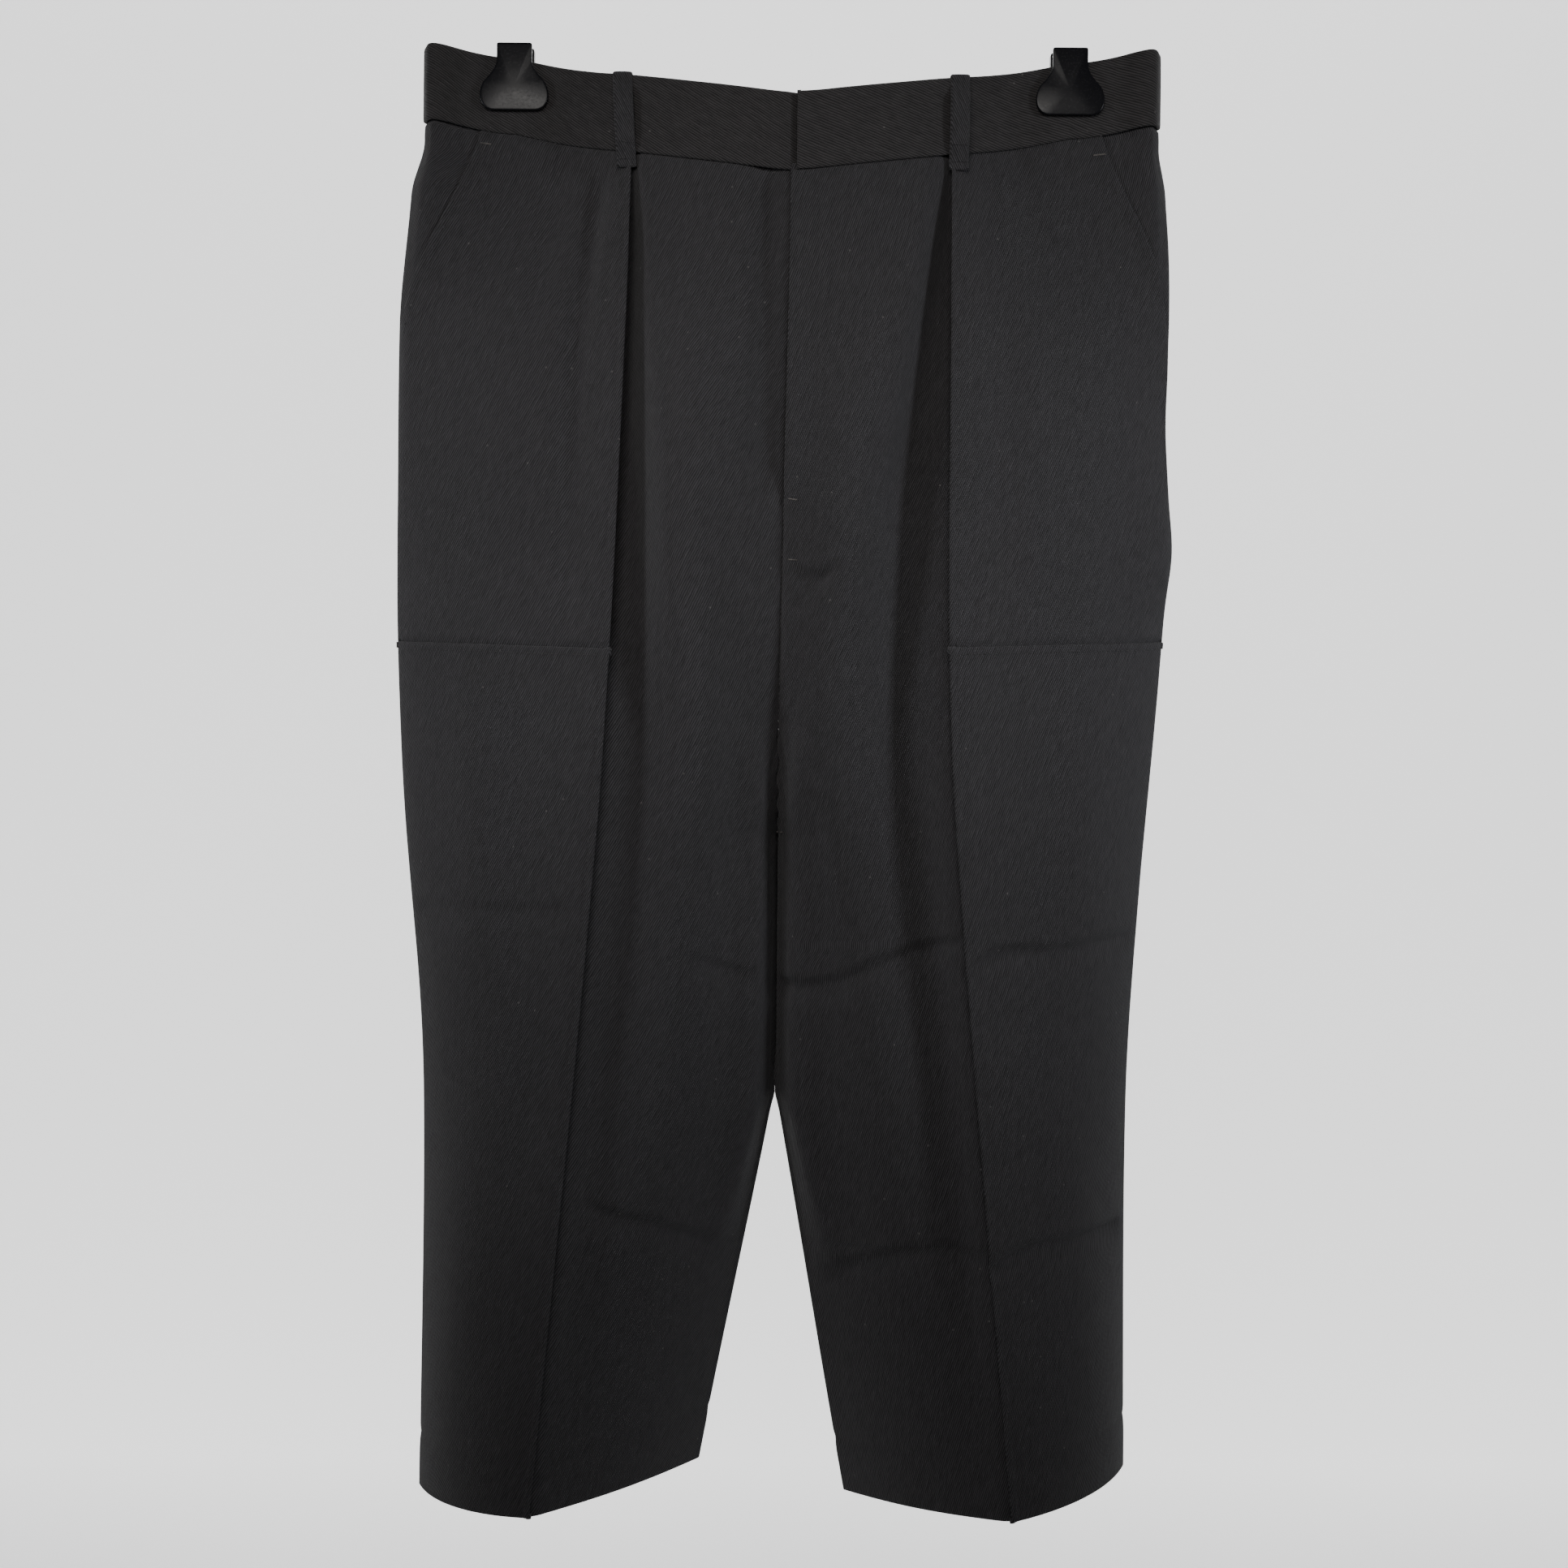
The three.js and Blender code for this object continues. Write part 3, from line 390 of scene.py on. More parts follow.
# Per leg, wearer's right -1 and left 1: how deep the pleat's valley is, how far from the crease its
# middle lies and how wide it is, all by drop. The left leg hangs with the wider valley.
pleat_depth = {
    -1: curve_through((50, 0.3), (72, 5), (115, 14), (280, 13), (400, 9), (520, 7), (640, 4.5),
                      (LEG_DROP - 34, 0.8), (LEG_DROP, 0)),
    1: curve_through((50, 0.3), (72, 5), (110, 12), (190, 15.5), (270, 18), (400, 16), (520, 12.5),
                     (640, 8), (LEG_DROP - 34, 1.0), (LEG_DROP, 0)),
}
pleat_middle = {
    -1: curve_through((60, -3), (150, -1), (300, 8), (420, 12), (600, 12)),
    1: curve_through((60, -3), (110, 1), (190, 11), (260, 19), (400, 20), (520, 16), (LEG_DROP, 12)),
}
pleat_width = {
    -1: curve_through((60, 6), (150, 9.5), (300, 15), (420, 18), (600, 20)),
    1: curve_through((60, 7), (110, 10), (190, 15), (260, 20), (400, 19), (520, 17)),
}


def hem_mark(drop):
    """The turned-up hem shows as a shallow line where it is felled, and a rounded lower edge."""
    return -0.45 * hump(drop, LEG_DROP - 28, 2.2) + 0.25 * smooth(LEG_DROP - 27, LEG_DROP - 18, drop)


def side_swell(sign, u, drop):
    """The side's outline: small swells at the hips, as each leg hangs, shared by front and back."""
    if sign > 0:
        swell = 2.6 * hump(drop, 270, 24) - 1.6 * hump(drop, 200, 26) + 3.2 * window(drop, 50, 78, 95, 165)
    else:
        swell = 6.0 * window(drop, 50, 80, 100, 290) + 2.0 * hump(drop, 420, 60)
    return swell * smooth(1.55, 2, u)


def waist_tuck(u, drop):
    """The top edge goes in behind the band, with a slight puff below the seam."""
    below = drop - band_bottom(u)
    return -1.6 * (1 - smooth(-0.5, 2.2, below)) + 0.35 * hump(below, 7, 5)


def inner_lift(sign, u, drop):
    """Height of the front inner panel over the section."""
    away = from_crease(u, drop)
    x = sign * section("front", u, drop)[0] + lean(drop)
    pleat = -pleat_depth[sign](drop) * hump(away, pleat_middle[sign](drop), pleat_width[sign](drop))
    fold = pleat - 1.9 * hump(away, -1, 4)
    roll_at = (36 if sign < 0 else 52) + 14 * smooth(250, 420, drop)
    roll = 5.2 * hump(away, roll_at, 17) * window(drop, 90, 220, 330, 520)
    cheek = 7.0 * hump(u, 0.15, 0.10) * window(
        drop, CROTCH_DROP - 70, CROTCH_DROP, LEGS_PART_DROP, LEGS_PART_DROP + 110)
    fly = window(drop, 50, 90, 225, 262)
    beside_fly = (-4.6 * hump(x, -12, 8) if sign < 0 else 2.2 * hump(x, -1, 9)) * fly
    pucker = 1.5 * valley(x, drop, 2.2, (6, 281), (15, 286), (25, 280), fade=7)
    drape = 1.3 * hump(away, 50, 22) * window(drop, 430, 520, 600, 740) * (1 if sign < 0 else 0.7)
    seam = -0.75 * hump(np.abs(x - lean(drop)), 0, 1.3) * smooth(240, 256, drop)
    calm = smooth(0, 0.07, u)
    return 0.6 + fold + seam + beside_fly + waist_tuck(u, drop) + hem_mark(drop) + calm * (
        roll + cheek + pucker + drape + creases(x, drop) * smooth(0, 0.1, u))


def outer_lift(sign, u, drop):
    """Height of the front outer panels: a corded edge at the crease, a lip that stands off the pleat's
    shadow, then soft dips down the thigh."""
    away = from_crease(np.maximum(u, 1), drop)
    x = sign * section("front", u, drop, True)[0] + lean(drop)
    cord = 0.7 * hump(away, 0.8, 1.3)
    lip = (2.6 if sign < 0 else 1.8) * hump(away, 2, 11) * window(drop, 60, 110, 330, 560)
    dip = -3.8 * hump(away, 21, 6.5) if sign < 0 else -1.8 * hump(away, 24, 8)
    dip = dip * window(drop, 60, 88, 190, 330)
    second = -1.3 * hump(away, 44, 7) * window(drop, 52, 66, 90, 180)
    thigh = 1.6 * hump(away, 58, 20) * window(drop, 150, 260, 420, 560)
    knee = 1.2 * hump(away, 45, 18) * window(drop, 520, 600, 680, 750)
    calm = 1 - smooth(1.82, 1.98, u)
    return 0.6 + cord + waist_tuck(u, drop) + hem_mark(drop) + side_swell(sign, u, drop) + calm * (
        lip + dip + second + thigh + knee + creases(x, drop)) - 0.5 * hump(2 - u, 0, 0.012)


def back_lift(sign, u, drop):
    """Height of the back panels: a pressed crease, a hollow under the seat and soft drapes."""
    x = sign * section("back", u, drop)[0]
    seam = -0.75 * hump(np.abs(x), 0, 1.3) * (drop < CROTCH_DROP + 30)
    crease = 1.1 * hump(u, 1, 0.05) * smooth(150, 330, drop)
    calm = smooth(0, 0.1, u) * (1 - smooth(1.85, 2, u))
    wave = 2.4 * hump(u, 0.62 + 0.1 * sign, 0.2) * window(drop, 70, 170, 300, 420)
    hollow = -2.6 * hump(u, 0.45, 0.22) * hump(drop, 432 + 8 * sign, 26)
    drape = -2.0 * hump(u, 1.35, 0.13) * window(drop, 200, 300, 520, 700)
    knee = valley(u, drop, 1.5, (0.25, 500), (0.6, 508), (0.95, 497), fade=0.12) + valley(
        u, drop, 1.2, (1.1, 618), (1.4, 622), (1.75, 615), fade=0.12)
    return 0.6 + seam + crease + waist_tuck(u, drop) + hem_mark(drop) + side_swell(sign, u, drop) + calm * (
        wave + hollow + drape + knee) - 0.5 * hump(2 - u, 0, 0.012)


print("pleats at the fly's end:", [round(float(pleat_depth[sign](FLY_DROP)), 1) for sign in (-1, 1)], "mm deep")

# %% [markdown]
# ## Finishes
# Each finish is one material. What several of them share, the twill's diagonal ribs, the lint and
# the slow change of tone across a garment, is a node group that is built once. Cloth is soft to the
# eye because fibres stand up from it, which is what the shader's sheen is for.

# %% A short way to write nodes
def node(tree, kind, values=(), **settings):
    """A node of `kind` in `tree`, with socket values or links given by socket name."""
    made = tree.nodes.new(kind)
    for name, value in settings.items():
        setattr(made, name, value)
    for name, value in dict(values).items():
        if isinstance(value, bpy.types.NodeSocket):
            tree.links.new(value, made.inputs[name])
        else:
            made.inputs[name].default_value = value
    return made


def calc(tree, operation, a, b=0.0, c=0.0):
    """One Math node; a, b and c are numbers or sockets."""
    made = node(tree, "ShaderNodeMath", {0: a, 1: b, 2: c}, operation=operation)
    return made.outputs[0]


def ramp(tree, value, low, high, to_low=0.0, to_high=1.0):
    """A value mapped from low..high to to_low..to_high, held at the ends."""
    made = node(tree, "ShaderNodeMapRange", {"Value": value, "From Min": low, "From Max": high,
                                             "To Min": to_low, "To Max": to_high})
    return made.outputs["Result"]


def group(name, inputs, outputs):
    """An empty node group with named sockets; returns the tree, its input node and its output node."""
    tree = bpy.data.node_groups.new(name, "ShaderNodeTree")
    for socket, (kind, value) in inputs.items():
        made = tree.interface.new_socket(socket, in_out="INPUT", socket_type="NodeSocket" + kind)
        if value is not None:
            made.default_value = value
    for socket, kind in outputs.items():
        tree.interface.new_socket(socket, in_out="OUTPUT", socket_type="NodeSocket" + kind)
    return tree, tree.nodes.new("NodeGroupInput"), tree.nodes.new("NodeGroupOutput")


# %% [markdown]
# ### Twill
# A twill is woven so that each yarn steps one place along from the last, which draws fine diagonal
# ribs. A repeated swatch would blur close up and show its repeat far off. A sine across the diagonal
# stays sharp at any distance, and noise along it breaks the ribs into yarns of uneven length.

# %% Twill: diagonal ribs of yarn, in the cloth's own measure
def build_twill():
    """Height is a sine across the diagonal, broken along it by the yarn's own short lengths; Shade is
    the same ribs with slow slubs, for colour."""
    tree, given, out = group(
        "twill_weave", {"Vector": ("Vector", None), "Pitch": ("Float", 0.001), "Steepness": ("Float", 1.9)},
        {"Height": "Float", "Shade": "Float"})
    apart = node(tree, "ShaderNodeSeparateXYZ", {0: given.outputs["Vector"]})
    x, y = apart.outputs["X"], apart.outputs["Y"]
    steep = given.outputs["Steepness"]
    across = calc(tree, "SUBTRACT", calc(tree, "MULTIPLY", x, steep), y)
    along = calc(tree, "ADD", x, calc(tree, "MULTIPLY", y, steep))
    length = calc(tree, "SQRT", calc(tree, "MULTIPLY_ADD", steep, steep, 1.0))
    ribs = calc(tree, "DIVIDE", across, calc(tree, "MULTIPLY", given.outputs["Pitch"], length))
    runs = calc(tree, "DIVIDE", along, calc(tree, "MULTIPLY", given.outputs["Pitch"], length))
    place_in = node(tree, "ShaderNodeCombineXYZ", {"X": ribs, "Y": calc(tree, "MULTIPLY", runs, 0.14)})
    slub = node(tree, "ShaderNodeTexNoise", {"Vector": place_in.outputs[0], "Scale": 0.9, "Detail": 3.0,
                                             "Roughness": 0.65})
    broken = calc(tree, "MULTIPLY_ADD", slub.outputs["Fac"], 0.7, ribs)
    wave = calc(tree, "SINE", calc(tree, "MULTIPLY", broken, 2 * math.pi))
    staggered = calc(tree, "MULTIPLY_ADD", ribs, 0.5, runs)
    yarn = calc(tree, "SINE", calc(tree, "MULTIPLY", staggered, 9.0))
    height = calc(tree, "ADD", calc(tree, "MULTIPLY_ADD", wave, 0.42, 0.5), calc(tree, "MULTIPLY", yarn, 0.1))
    shade = calc(tree, "MULTIPLY_ADD", wave, 0.22, calc(tree, "MULTIPLY_ADD", slub.outputs["Fac"], 0.45, 0.3))
    tree.links.new(height, out.inputs["Height"])
    tree.links.new(shade, out.inputs["Shade"])
    return tree


twill_weave = build_twill()

# %% [markdown]
# ### Lint and tone
# Black wool never looks one flat black: it picks up pale lint, and the nap catches light unevenly.
# Specks come from a Voronoi pattern, where each cell draws its own lot, so only a few of them show.

# %% Lint and tone
def build_lint():
    """A few pale specks: cells whose own random number is high and that are close to their centre."""
    tree, given, out = group("lint_specks", {"Vector": ("Vector", None), "Scale": ("Float", 230.0),
                                             "Rarity": ("Float", 0.965)}, {"Mask": "Float"})
    cells = node(tree, "ShaderNodeTexVoronoi", {
        "Vector": given.outputs["Vector"], "Scale": given.outputs["Scale"], "Randomness": 1.0})
    chance = node(tree, "ShaderNodeSeparateColor", {"Color": cells.outputs["Color"]})
    chosen = calc(tree, "GREATER_THAN", chance.outputs["Red"], given.outputs["Rarity"])
    close = ramp(tree, cells.outputs["Distance"], 0.16, 0.06)
    tree.links.new(calc(tree, "MULTIPLY", chosen, close), out.inputs["Mask"])
    return tree


def build_tone():
    """Slow tone over the garment: a broad cloud, a finer mottle, and both around 1."""
    tree, given, out = group(
        "cloth_tone", {"Vector": ("Vector", None), "Amount": ("Float", 0.2)}, {"Tone": "Float"})
    broad = node(tree, "ShaderNodeTexNoise", {"Vector": given.outputs["Vector"], "Scale": 9.0, "Detail": 2.0})
    fine = node(tree, "ShaderNodeTexNoise", {
        "Vector": given.outputs["Vector"], "Scale": 120.0, "Detail": 3.0, "Roughness": 0.7})
    both = calc(tree, "ADD", broad.outputs["Fac"], calc(tree, "MULTIPLY", fine.outputs["Fac"], 0.7))
    centred = calc(tree, "SUBTRACT", both, 0.85)
    tree.links.new(calc(tree, "MULTIPLY_ADD", centred, given.outputs["Amount"], 1.0), out.inputs["Tone"])
    return tree


lint_specks, cloth_tone = build_lint(), build_tone()
print("groups", [g.name for g in (twill_weave, lint_specks, cloth_tone)])

# %% Woven finishes
def surface(name, roughness, **sockets):
    """A material with its Principled shader; sockets that are the same all over are set directly."""
    material = bpy.data.materials.new(name)
    material.use_nodes = True
    shader = material.node_tree.nodes["Principled BSDF"]
    shader.inputs["Roughness"].default_value = roughness
    for socket, value in sockets.items():
        shader.inputs[socket.replace("_", " ")].default_value = value
    return material, material.node_tree, shader


LINT_COLOUR = (0.42, 0.40, 0.38, 1)


def mix_colour(tree, factor, a, b):
    """A Mix node between two colours, each a value or a socket."""
    return node(tree, "ShaderNodeMix", {"Factor": factor, 6: a, 7: b}, data_type="RGBA").outputs[2]


def woven(name, dark, light, pitch, steepness, roughness, bump, sheen, tone=0.3, lint=0.10):
    """Yarn-dyed cloth: twill ribs between a dark and a light yarn, with tone, lint and a fine bump."""
    material, tree, shader = surface(name, roughness, Sheen_Weight=sheen, Sheen_Roughness=0.45,
                                     Specular_IOR_Level=0.18)
    uv = node(tree, "ShaderNodeUVMap", uv_map="weave").outputs[0]
    where = node(tree, "ShaderNodeTexCoord").outputs["Object"]
    twill, toned, specks = (
        node(tree, "ShaderNodeGroup", node_tree=shared) for shared in (twill_weave, cloth_tone, lint_specks))
    tree.links.new(uv, twill.inputs["Vector"])
    tree.links.new(where, toned.inputs["Vector"])
    tree.links.new(where, specks.inputs["Vector"])
    twill.inputs["Pitch"].default_value = pitch
    twill.inputs["Steepness"].default_value = steepness
    toned.inputs["Amount"].default_value = tone
    yarns = mix_colour(tree, ramp(tree, twill.outputs["Shade"], 0.25, 0.95), (*dark, 1), (*light, 1))
    cloudy = node(tree, "ShaderNodeVectorMath", {0: yarns}, operation="SCALE")
    tree.links.new(toned.outputs["Tone"], cloudy.inputs["Scale"])
    dust = calc(tree, "MULTIPLY", specks.outputs["Mask"], lint)
    tree.links.new(mix_colour(tree, dust, cloudy.outputs[0], LINT_COLOUR), shader.inputs["Base Color"])
    fuzz = node(tree, "ShaderNodeTexNoise", {"Vector": where, "Scale": 420.0, "Detail": 3.0, "Roughness": 0.7})
    height = calc(tree, "MULTIPLY_ADD", fuzz.outputs["Fac"], 0.7, twill.outputs["Height"])
    bumped = node(tree, "ShaderNodeBump", {"Height": height, "Strength": bump, "Distance": 0.0003})
    tree.links.new(bumped.outputs[0], shader.inputs["Normal"])
    return material


cloth = woven("black_wool_twill", (0.0055, 0.0053, 0.0057), (0.040, 0.0385, 0.0415),
              pitch=0.00105, steepness=2.1, roughness=0.85, bump=1.0, sheen=0.05)
band_cloth = woven("band_wool_cross_grain", (0.005, 0.0047, 0.0048), (0.037, 0.0345, 0.035),
                   pitch=0.00125, steepness=0.5, roughness=0.85, bump=1.0, sheen=0.05)
cloth_inside = woven("wool_wrong_side", (0.014, 0.0135, 0.014), (0.032, 0.031, 0.032),
                     pitch=0.00105, steepness=-2.1, roughness=0.9, bump=0.5, sheen=0.12)
lining = woven("lining_sateen", (0.008, 0.008, 0.009), (0.020, 0.020, 0.022),
               pitch=0.0006, steepness=0.5, roughness=0.42, bump=0.25, sheen=0.0, tone=0.15)
pocketing = woven("pocketing_cotton", (0.012, 0.012, 0.013), (0.030, 0.030, 0.031),
                  pitch=0.0008, steepness=1.0, roughness=0.75, bump=0.5, sheen=0.05, tone=0.2, lint=0.15)
tape_cloth = woven("zip_tape_weave", (0.009, 0.009, 0.010), (0.026, 0.026, 0.028),
                   pitch=0.0009, steepness=0.05, roughness=0.7, bump=0.7, sheen=0.05, tone=0.1)
print("woven finishes", [m.name for m in (cloth, band_cloth, cloth_inside, lining, pocketing, tape_cloth)])

# %% [markdown]
# ### Thread, plastic and metal
# The small hard pieces share one recipe: a base colour with a slow tint, and one fine noise that both
# breaks the gloss and gives a trace of relief. The numbers that differ say what each one is: thread
# is rough with a coarse grain, moulded plastic is smooth, and steel is a metal.

# %% Thread, plastic and metal
def solid_finish(name, colour, roughness, grain_scale, grain, tint=0.12, **sockets):
    """A hard or fibrous solid: one colour with a slow tint, a fine grain in roughness and bump."""
    material, tree, shader = surface(name, roughness, **sockets)
    where = node(tree, "ShaderNodeTexCoord").outputs["Object"]
    noise = node(tree, "ShaderNodeTexNoise", {
        "Vector": where, "Scale": grain_scale, "Detail": 4.0, "Roughness": 0.6})
    cloud = node(tree, "ShaderNodeTexNoise", {"Vector": where, "Scale": grain_scale / 12, "Detail": 2.0})
    tone = ramp(tree, cloud.outputs["Fac"], 0.3, 0.7, 1 - tint, 1 + tint)
    tinted = node(tree, "ShaderNodeVectorMath", {0: colour}, operation="SCALE")
    tree.links.new(tone, tinted.inputs["Scale"])
    tree.links.new(tinted.outputs[0], shader.inputs["Base Color"])
    polish = ramp(tree, noise.outputs["Fac"], 0.3, 0.7, roughness * 0.75, roughness * 1.3)
    tree.links.new(polish, shader.inputs["Roughness"])
    bumped = node(tree, "ShaderNodeBump", {
        "Height": noise.outputs["Fac"], "Strength": grain, "Distance": 0.00015})
    tree.links.new(bumped.outputs[0], shader.inputs["Normal"])
    return material


thread = solid_finish("sewing_thread", (0.016, 0.0155, 0.016), 0.6, 2600, 0.5, 0.3, Specular_IOR_Level=0.25)
tack_thread = solid_finish("bar_tack_thread", (0.06, 0.055, 0.052), 0.6, 2600, 0.5, 0.35,
                           Specular_IOR_Level=0.25)
clip_plastic = solid_finish("clip_gloss_black", (0.005, 0.005, 0.006), 0.24, 900, 0.02, 0.1,
                            Specular_IOR_Level=0.10)
steel = solid_finish("bright_steel", (0.55, 0.55, 0.56), 0.24, 1500, 0.08, 0.08, Metallic=1.0)
zip_metal = solid_finish("zip_gunmetal", (0.10, 0.098, 0.10), 0.30, 1500, 0.1, 0.15, Metallic=1.0)
print("all finishes", len(bpy.data.materials))

# %% [markdown]
# ## Making a sheet of cloth
# A sheet is a grid of points. Its weave is drawn in its own measure: distance along each row of the
# grid, and distance down. Drawn by place instead, the ribs would smear wherever the cloth turns
# away. Cloth simulation could hang the legs, but pressed creases and sewn pleats are put there by an
# iron and a needle, so the folds here are written as small heights that can be placed exactly.

# %% Sheets
def cloth_sheet(name, points, nodes, finish, out, thickness=CLOTH, origin_column=0,
                flip_across=False, ring=False):
    """A cloth piece on the garment from grid points [row, column] in millimetres. `out` is a point that
    the cloth looks away from, or the way that each grid point must look. The weave's own measure is
    the sum of the steps from `origin_column` across, and from the top row down."""
    rows, columns = points.shape[:2]
    flat_points = points.reshape(-1, 3) * MM
    faces = grid_faces(rows, columns, ring)
    corners = flat_points[faces]
    normal = np.cross(corners[:, 1] - corners[:, 0], corners[:, 3] - corners[:, 0])
    if np.ndim(out) == 1:
        wanted = corners.mean(1) - np.asarray(out) * MM
    else:
        wanted = out.reshape(-1, 3)[faces].mean(1)
    turn_over = (normal * wanted).sum() < 0
    piece = new_mesh(name, flat_points, faces[:, ::-1] if turn_over else faces, finish)

    closed = np.concatenate([points, points[:, :1]], 1) if ring else points
    step_across = np.linalg.norm(np.diff(closed, axis=1), axis=2) * MM
    across = np.concatenate([np.zeros((rows, 1)), np.cumsum(step_across, 1)], 1)
    across -= across[:, origin_column:origin_column + 1]
    step_down = np.linalg.norm(np.diff(closed, axis=0), axis=2) * MM
    down = np.concatenate([np.zeros((1, closed.shape[1])), np.cumsum(step_down, 0)], 0)
    uv = np.stack([(-across if flip_across else across), -down], -1)
    cell = grid_faces(rows, columns + 1 if ring else columns)
    cell = cell[:, ::-1] if turn_over else cell
    layer = piece.data.uv_layers.new(name="weave")
    layer.data.foreach_set("uv", uv.reshape(-1, 2)[cell.ravel()].astype(np.float32).ravel())

    wall = piece.modifiers.new("thickness", "SOLIDIFY")
    wall.thickness, wall.offset = thickness * MM, -1
    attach(piece, "garment")
    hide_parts(*nodes)
    return piece


SIDES = (("right", -1), ("left", 1))

# %% [markdown]
# ## Stitches
# A stitch is a short, slightly sunk capsule of thread. Hundreds of them in a row tell the eye the
# size of everything else, so they are real shapes and not a drawn line, with a few faces each. They
# are made as one mesh of many closed shells, and so are the zip's teeth and the clips' parts.

# %% Closed pieces
def closed_piece(name, vertices, faces, finish, body, replaced=()):
    """A piece of one or more closed shells in millimetres, with every shell's faces turned outwards."""
    mesh = bpy.data.meshes.new(name)
    mesh.from_pydata((vertices.reshape(-1, 3) * MM).tolist(), [], faces)
    mesh.materials.append(finish)
    work = bmesh.new()
    work.from_mesh(mesh)
    bmesh.ops.recalc_face_normals(work, faces=work.faces)
    work.to_mesh(mesh)
    work.free()
    mesh.shade_smooth()
    piece = bpy.data.objects.new(name, mesh)
    bpy.context.scene.collection.objects.link(piece)
    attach(piece, body)
    if replaced:
        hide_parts(*replaced)
    return piece


def shell_faces(rings, around, start=0):
    """Quads between rings of `around` points numbered from `start`, and one cap at each end."""
    quads = (grid_faces(rings, around, ring=True) + start).tolist()
    cap = np.arange(around) + start
    return quads + [cap[::-1].tolist(), (cap + (rings - 1) * around).tolist()]


# %% Rows of stitches
def stitches(name, centres, normals, along, length, width, finish=thread, height=0.45):
    """Capsules at centres, lying along `along` with `normals` up: five rings of six points, narrow at
    both ends and full from a fifth of the way in."""
    t = np.array([-1.0, -0.8, 0.0, 0.8, 1.0])
    radius = np.array([0.12, 0.7, 1.0, 0.7, 0.12])
    turn = np.arange(6) * math.pi / 3
    tangent = along / np.linalg.norm(along, axis=1, keepdims=True)
    side = np.cross(normals, tangent)
    side /= np.linalg.norm(side, axis=1, keepdims=True)
    up = np.cross(tangent, side)
    shape = (
        centres[:, None, None, :]
        + tangent[:, None, None, :] * (t * length / 2)[None, :, None, None]
        + side[:, None, None, :] * (radius[:, None] * np.cos(turn) * width / 2)[None, :, :, None]
        + up[:, None, None, :] * (radius[:, None] * np.sin(turn) * height / 2)[None, :, :, None]
    )
    each = len(t) * len(turn)
    faces = [face for k in range(len(centres)) for face in shell_faces(len(t), len(turn), k * each)]
    print(name, len(centres), "stitches")
    return closed_piece(name, shape, faces, finish, "garment")


def along_line(line, pitch):
    """Points every `pitch` mm along a densely sampled line, with the line's direction there."""
    step = np.linalg.norm(np.diff(line, axis=0), axis=1)
    reach = np.concatenate([[0], np.cumsum(step)])
    stops = np.arange(pitch / 2, reach[-1], pitch)
    at = np.stack([np.interp(stops, reach, line[:, k]) for k in range(3)], 1)
    before = np.stack([np.interp(stops - 0.5, reach, line[:, k]) for k in range(3)], 1)
    after = np.stack([np.interp(stops + 0.5, reach, line[:, k]) for k in range(3)], 1)
    return at, after - before

# %% [markdown]
# ## Trouser panels
# Each front has three cloth panels: an inner one that runs from the fly to under the crease, and an
# upper and a lower outer one, joined by a cross seam on the thigh. The outer panels' edge is turned
# under along the crease, so the grid carries a few extra columns that curl round that edge.

# %% Front inner panels
# The hem's roll as (drop past the hem, extra lift), and a turned edge as (step in u, extra lift).
HEM_ROLL = np.array([(0.0, -0.3), (0.0, -0.8), (-2.0, -1.05)])
TURNED = np.array([
    (0.016, -1.55), (0.006, -1.7), (-0.0015, -1.35), (-0.005, -0.7), (-0.0045, -0.1), (0.0, 0.1)])
UNDER_FLY = np.array([
    (-0.03, -1.5), (-0.02, -1.5), (-0.01, -1.4), (-0.002, -1.1), (0.006, -0.6), (0.013, -0.2)])
EDGE = len(TURNED)


def rows_from_band(top, bottom, step=2.2, hem=True):
    """Drops of a panel's rows for each column, from just behind the band to the bottom edge, and what
    is added to the lift of the rolled rows at the hem."""
    tucked = np.array([-3, -1.4, -0.3, 0.6, 1.7, 3.2])[:, None] + top[None]
    t = np.linspace(0, 1, int((bottom - 60) / step))[:, None]
    main = mix(top[None] + 5, bottom - (0.5 if hem else 0), t)
    if not hem:
        return np.concatenate([tucked, main]), 0.0
    rolled = bottom + HEM_ROLL[:, :1] + 0 * top[None]
    drop = np.concatenate([tucked, main, rolled])
    added = np.zeros((len(drop), 1))
    added[-len(HEM_ROLL):] = HEM_ROLL[:, 1:]
    return drop, added


for side, sign in SIDES:
    plain = np.concatenate([np.linspace(0, 0.02, EDGE), np.linspace(0.032, 1.06, 64)])
    drop, added = rows_from_band(band_bottom(plain), LEG_DROP)
    open_fly = (1 - smooth(236, 250, drop))[:, :EDGE]
    edge = TURNED * (0.9, 1) + (0.002, 0) if sign > 0 else UNDER_FLY
    u = np.repeat(plain[None], len(drop), 0)
    u[:, :EDGE] += open_fly * (edge[:, 0] - plain[:EDGE])
    added = np.repeat(added, len(plain), 1)
    added[:, :EDGE] += open_fly * edge[:, 1]
    points = place("front", sign, u, drop, inner_lift(sign, u, drop) + added)
    cloth_sheet(f"front_inner_{side}", points, [f"front_inner_panel_{side}"], cloth, (sign * 60, 0, -400),
                origin_column=60, flip_across=sign < 0)

# %% [markdown]
# ### The outer panels
# The slant pocket is only a line on the pattern: the upper panel stops at it with a rolled edge, and a
# second piece of cloth lies behind. So the panel's last columns follow the mouth down to the side
# seam, and from there they become a plain seam edge.

# %% The slant pocket's mouth
POCKET_TOP_X, POCKET_END_DROP, THIGH_LAP = 165, 162, 6
POCKET_TOP_U = 1.4 + 0.4 * (POCKET_TOP_X - CLIP_X + PAD_EDGE) / (2 * PAD_EDGE)
MOUTH_TOP_DROP = float(band_bottom(POCKET_TOP_U))


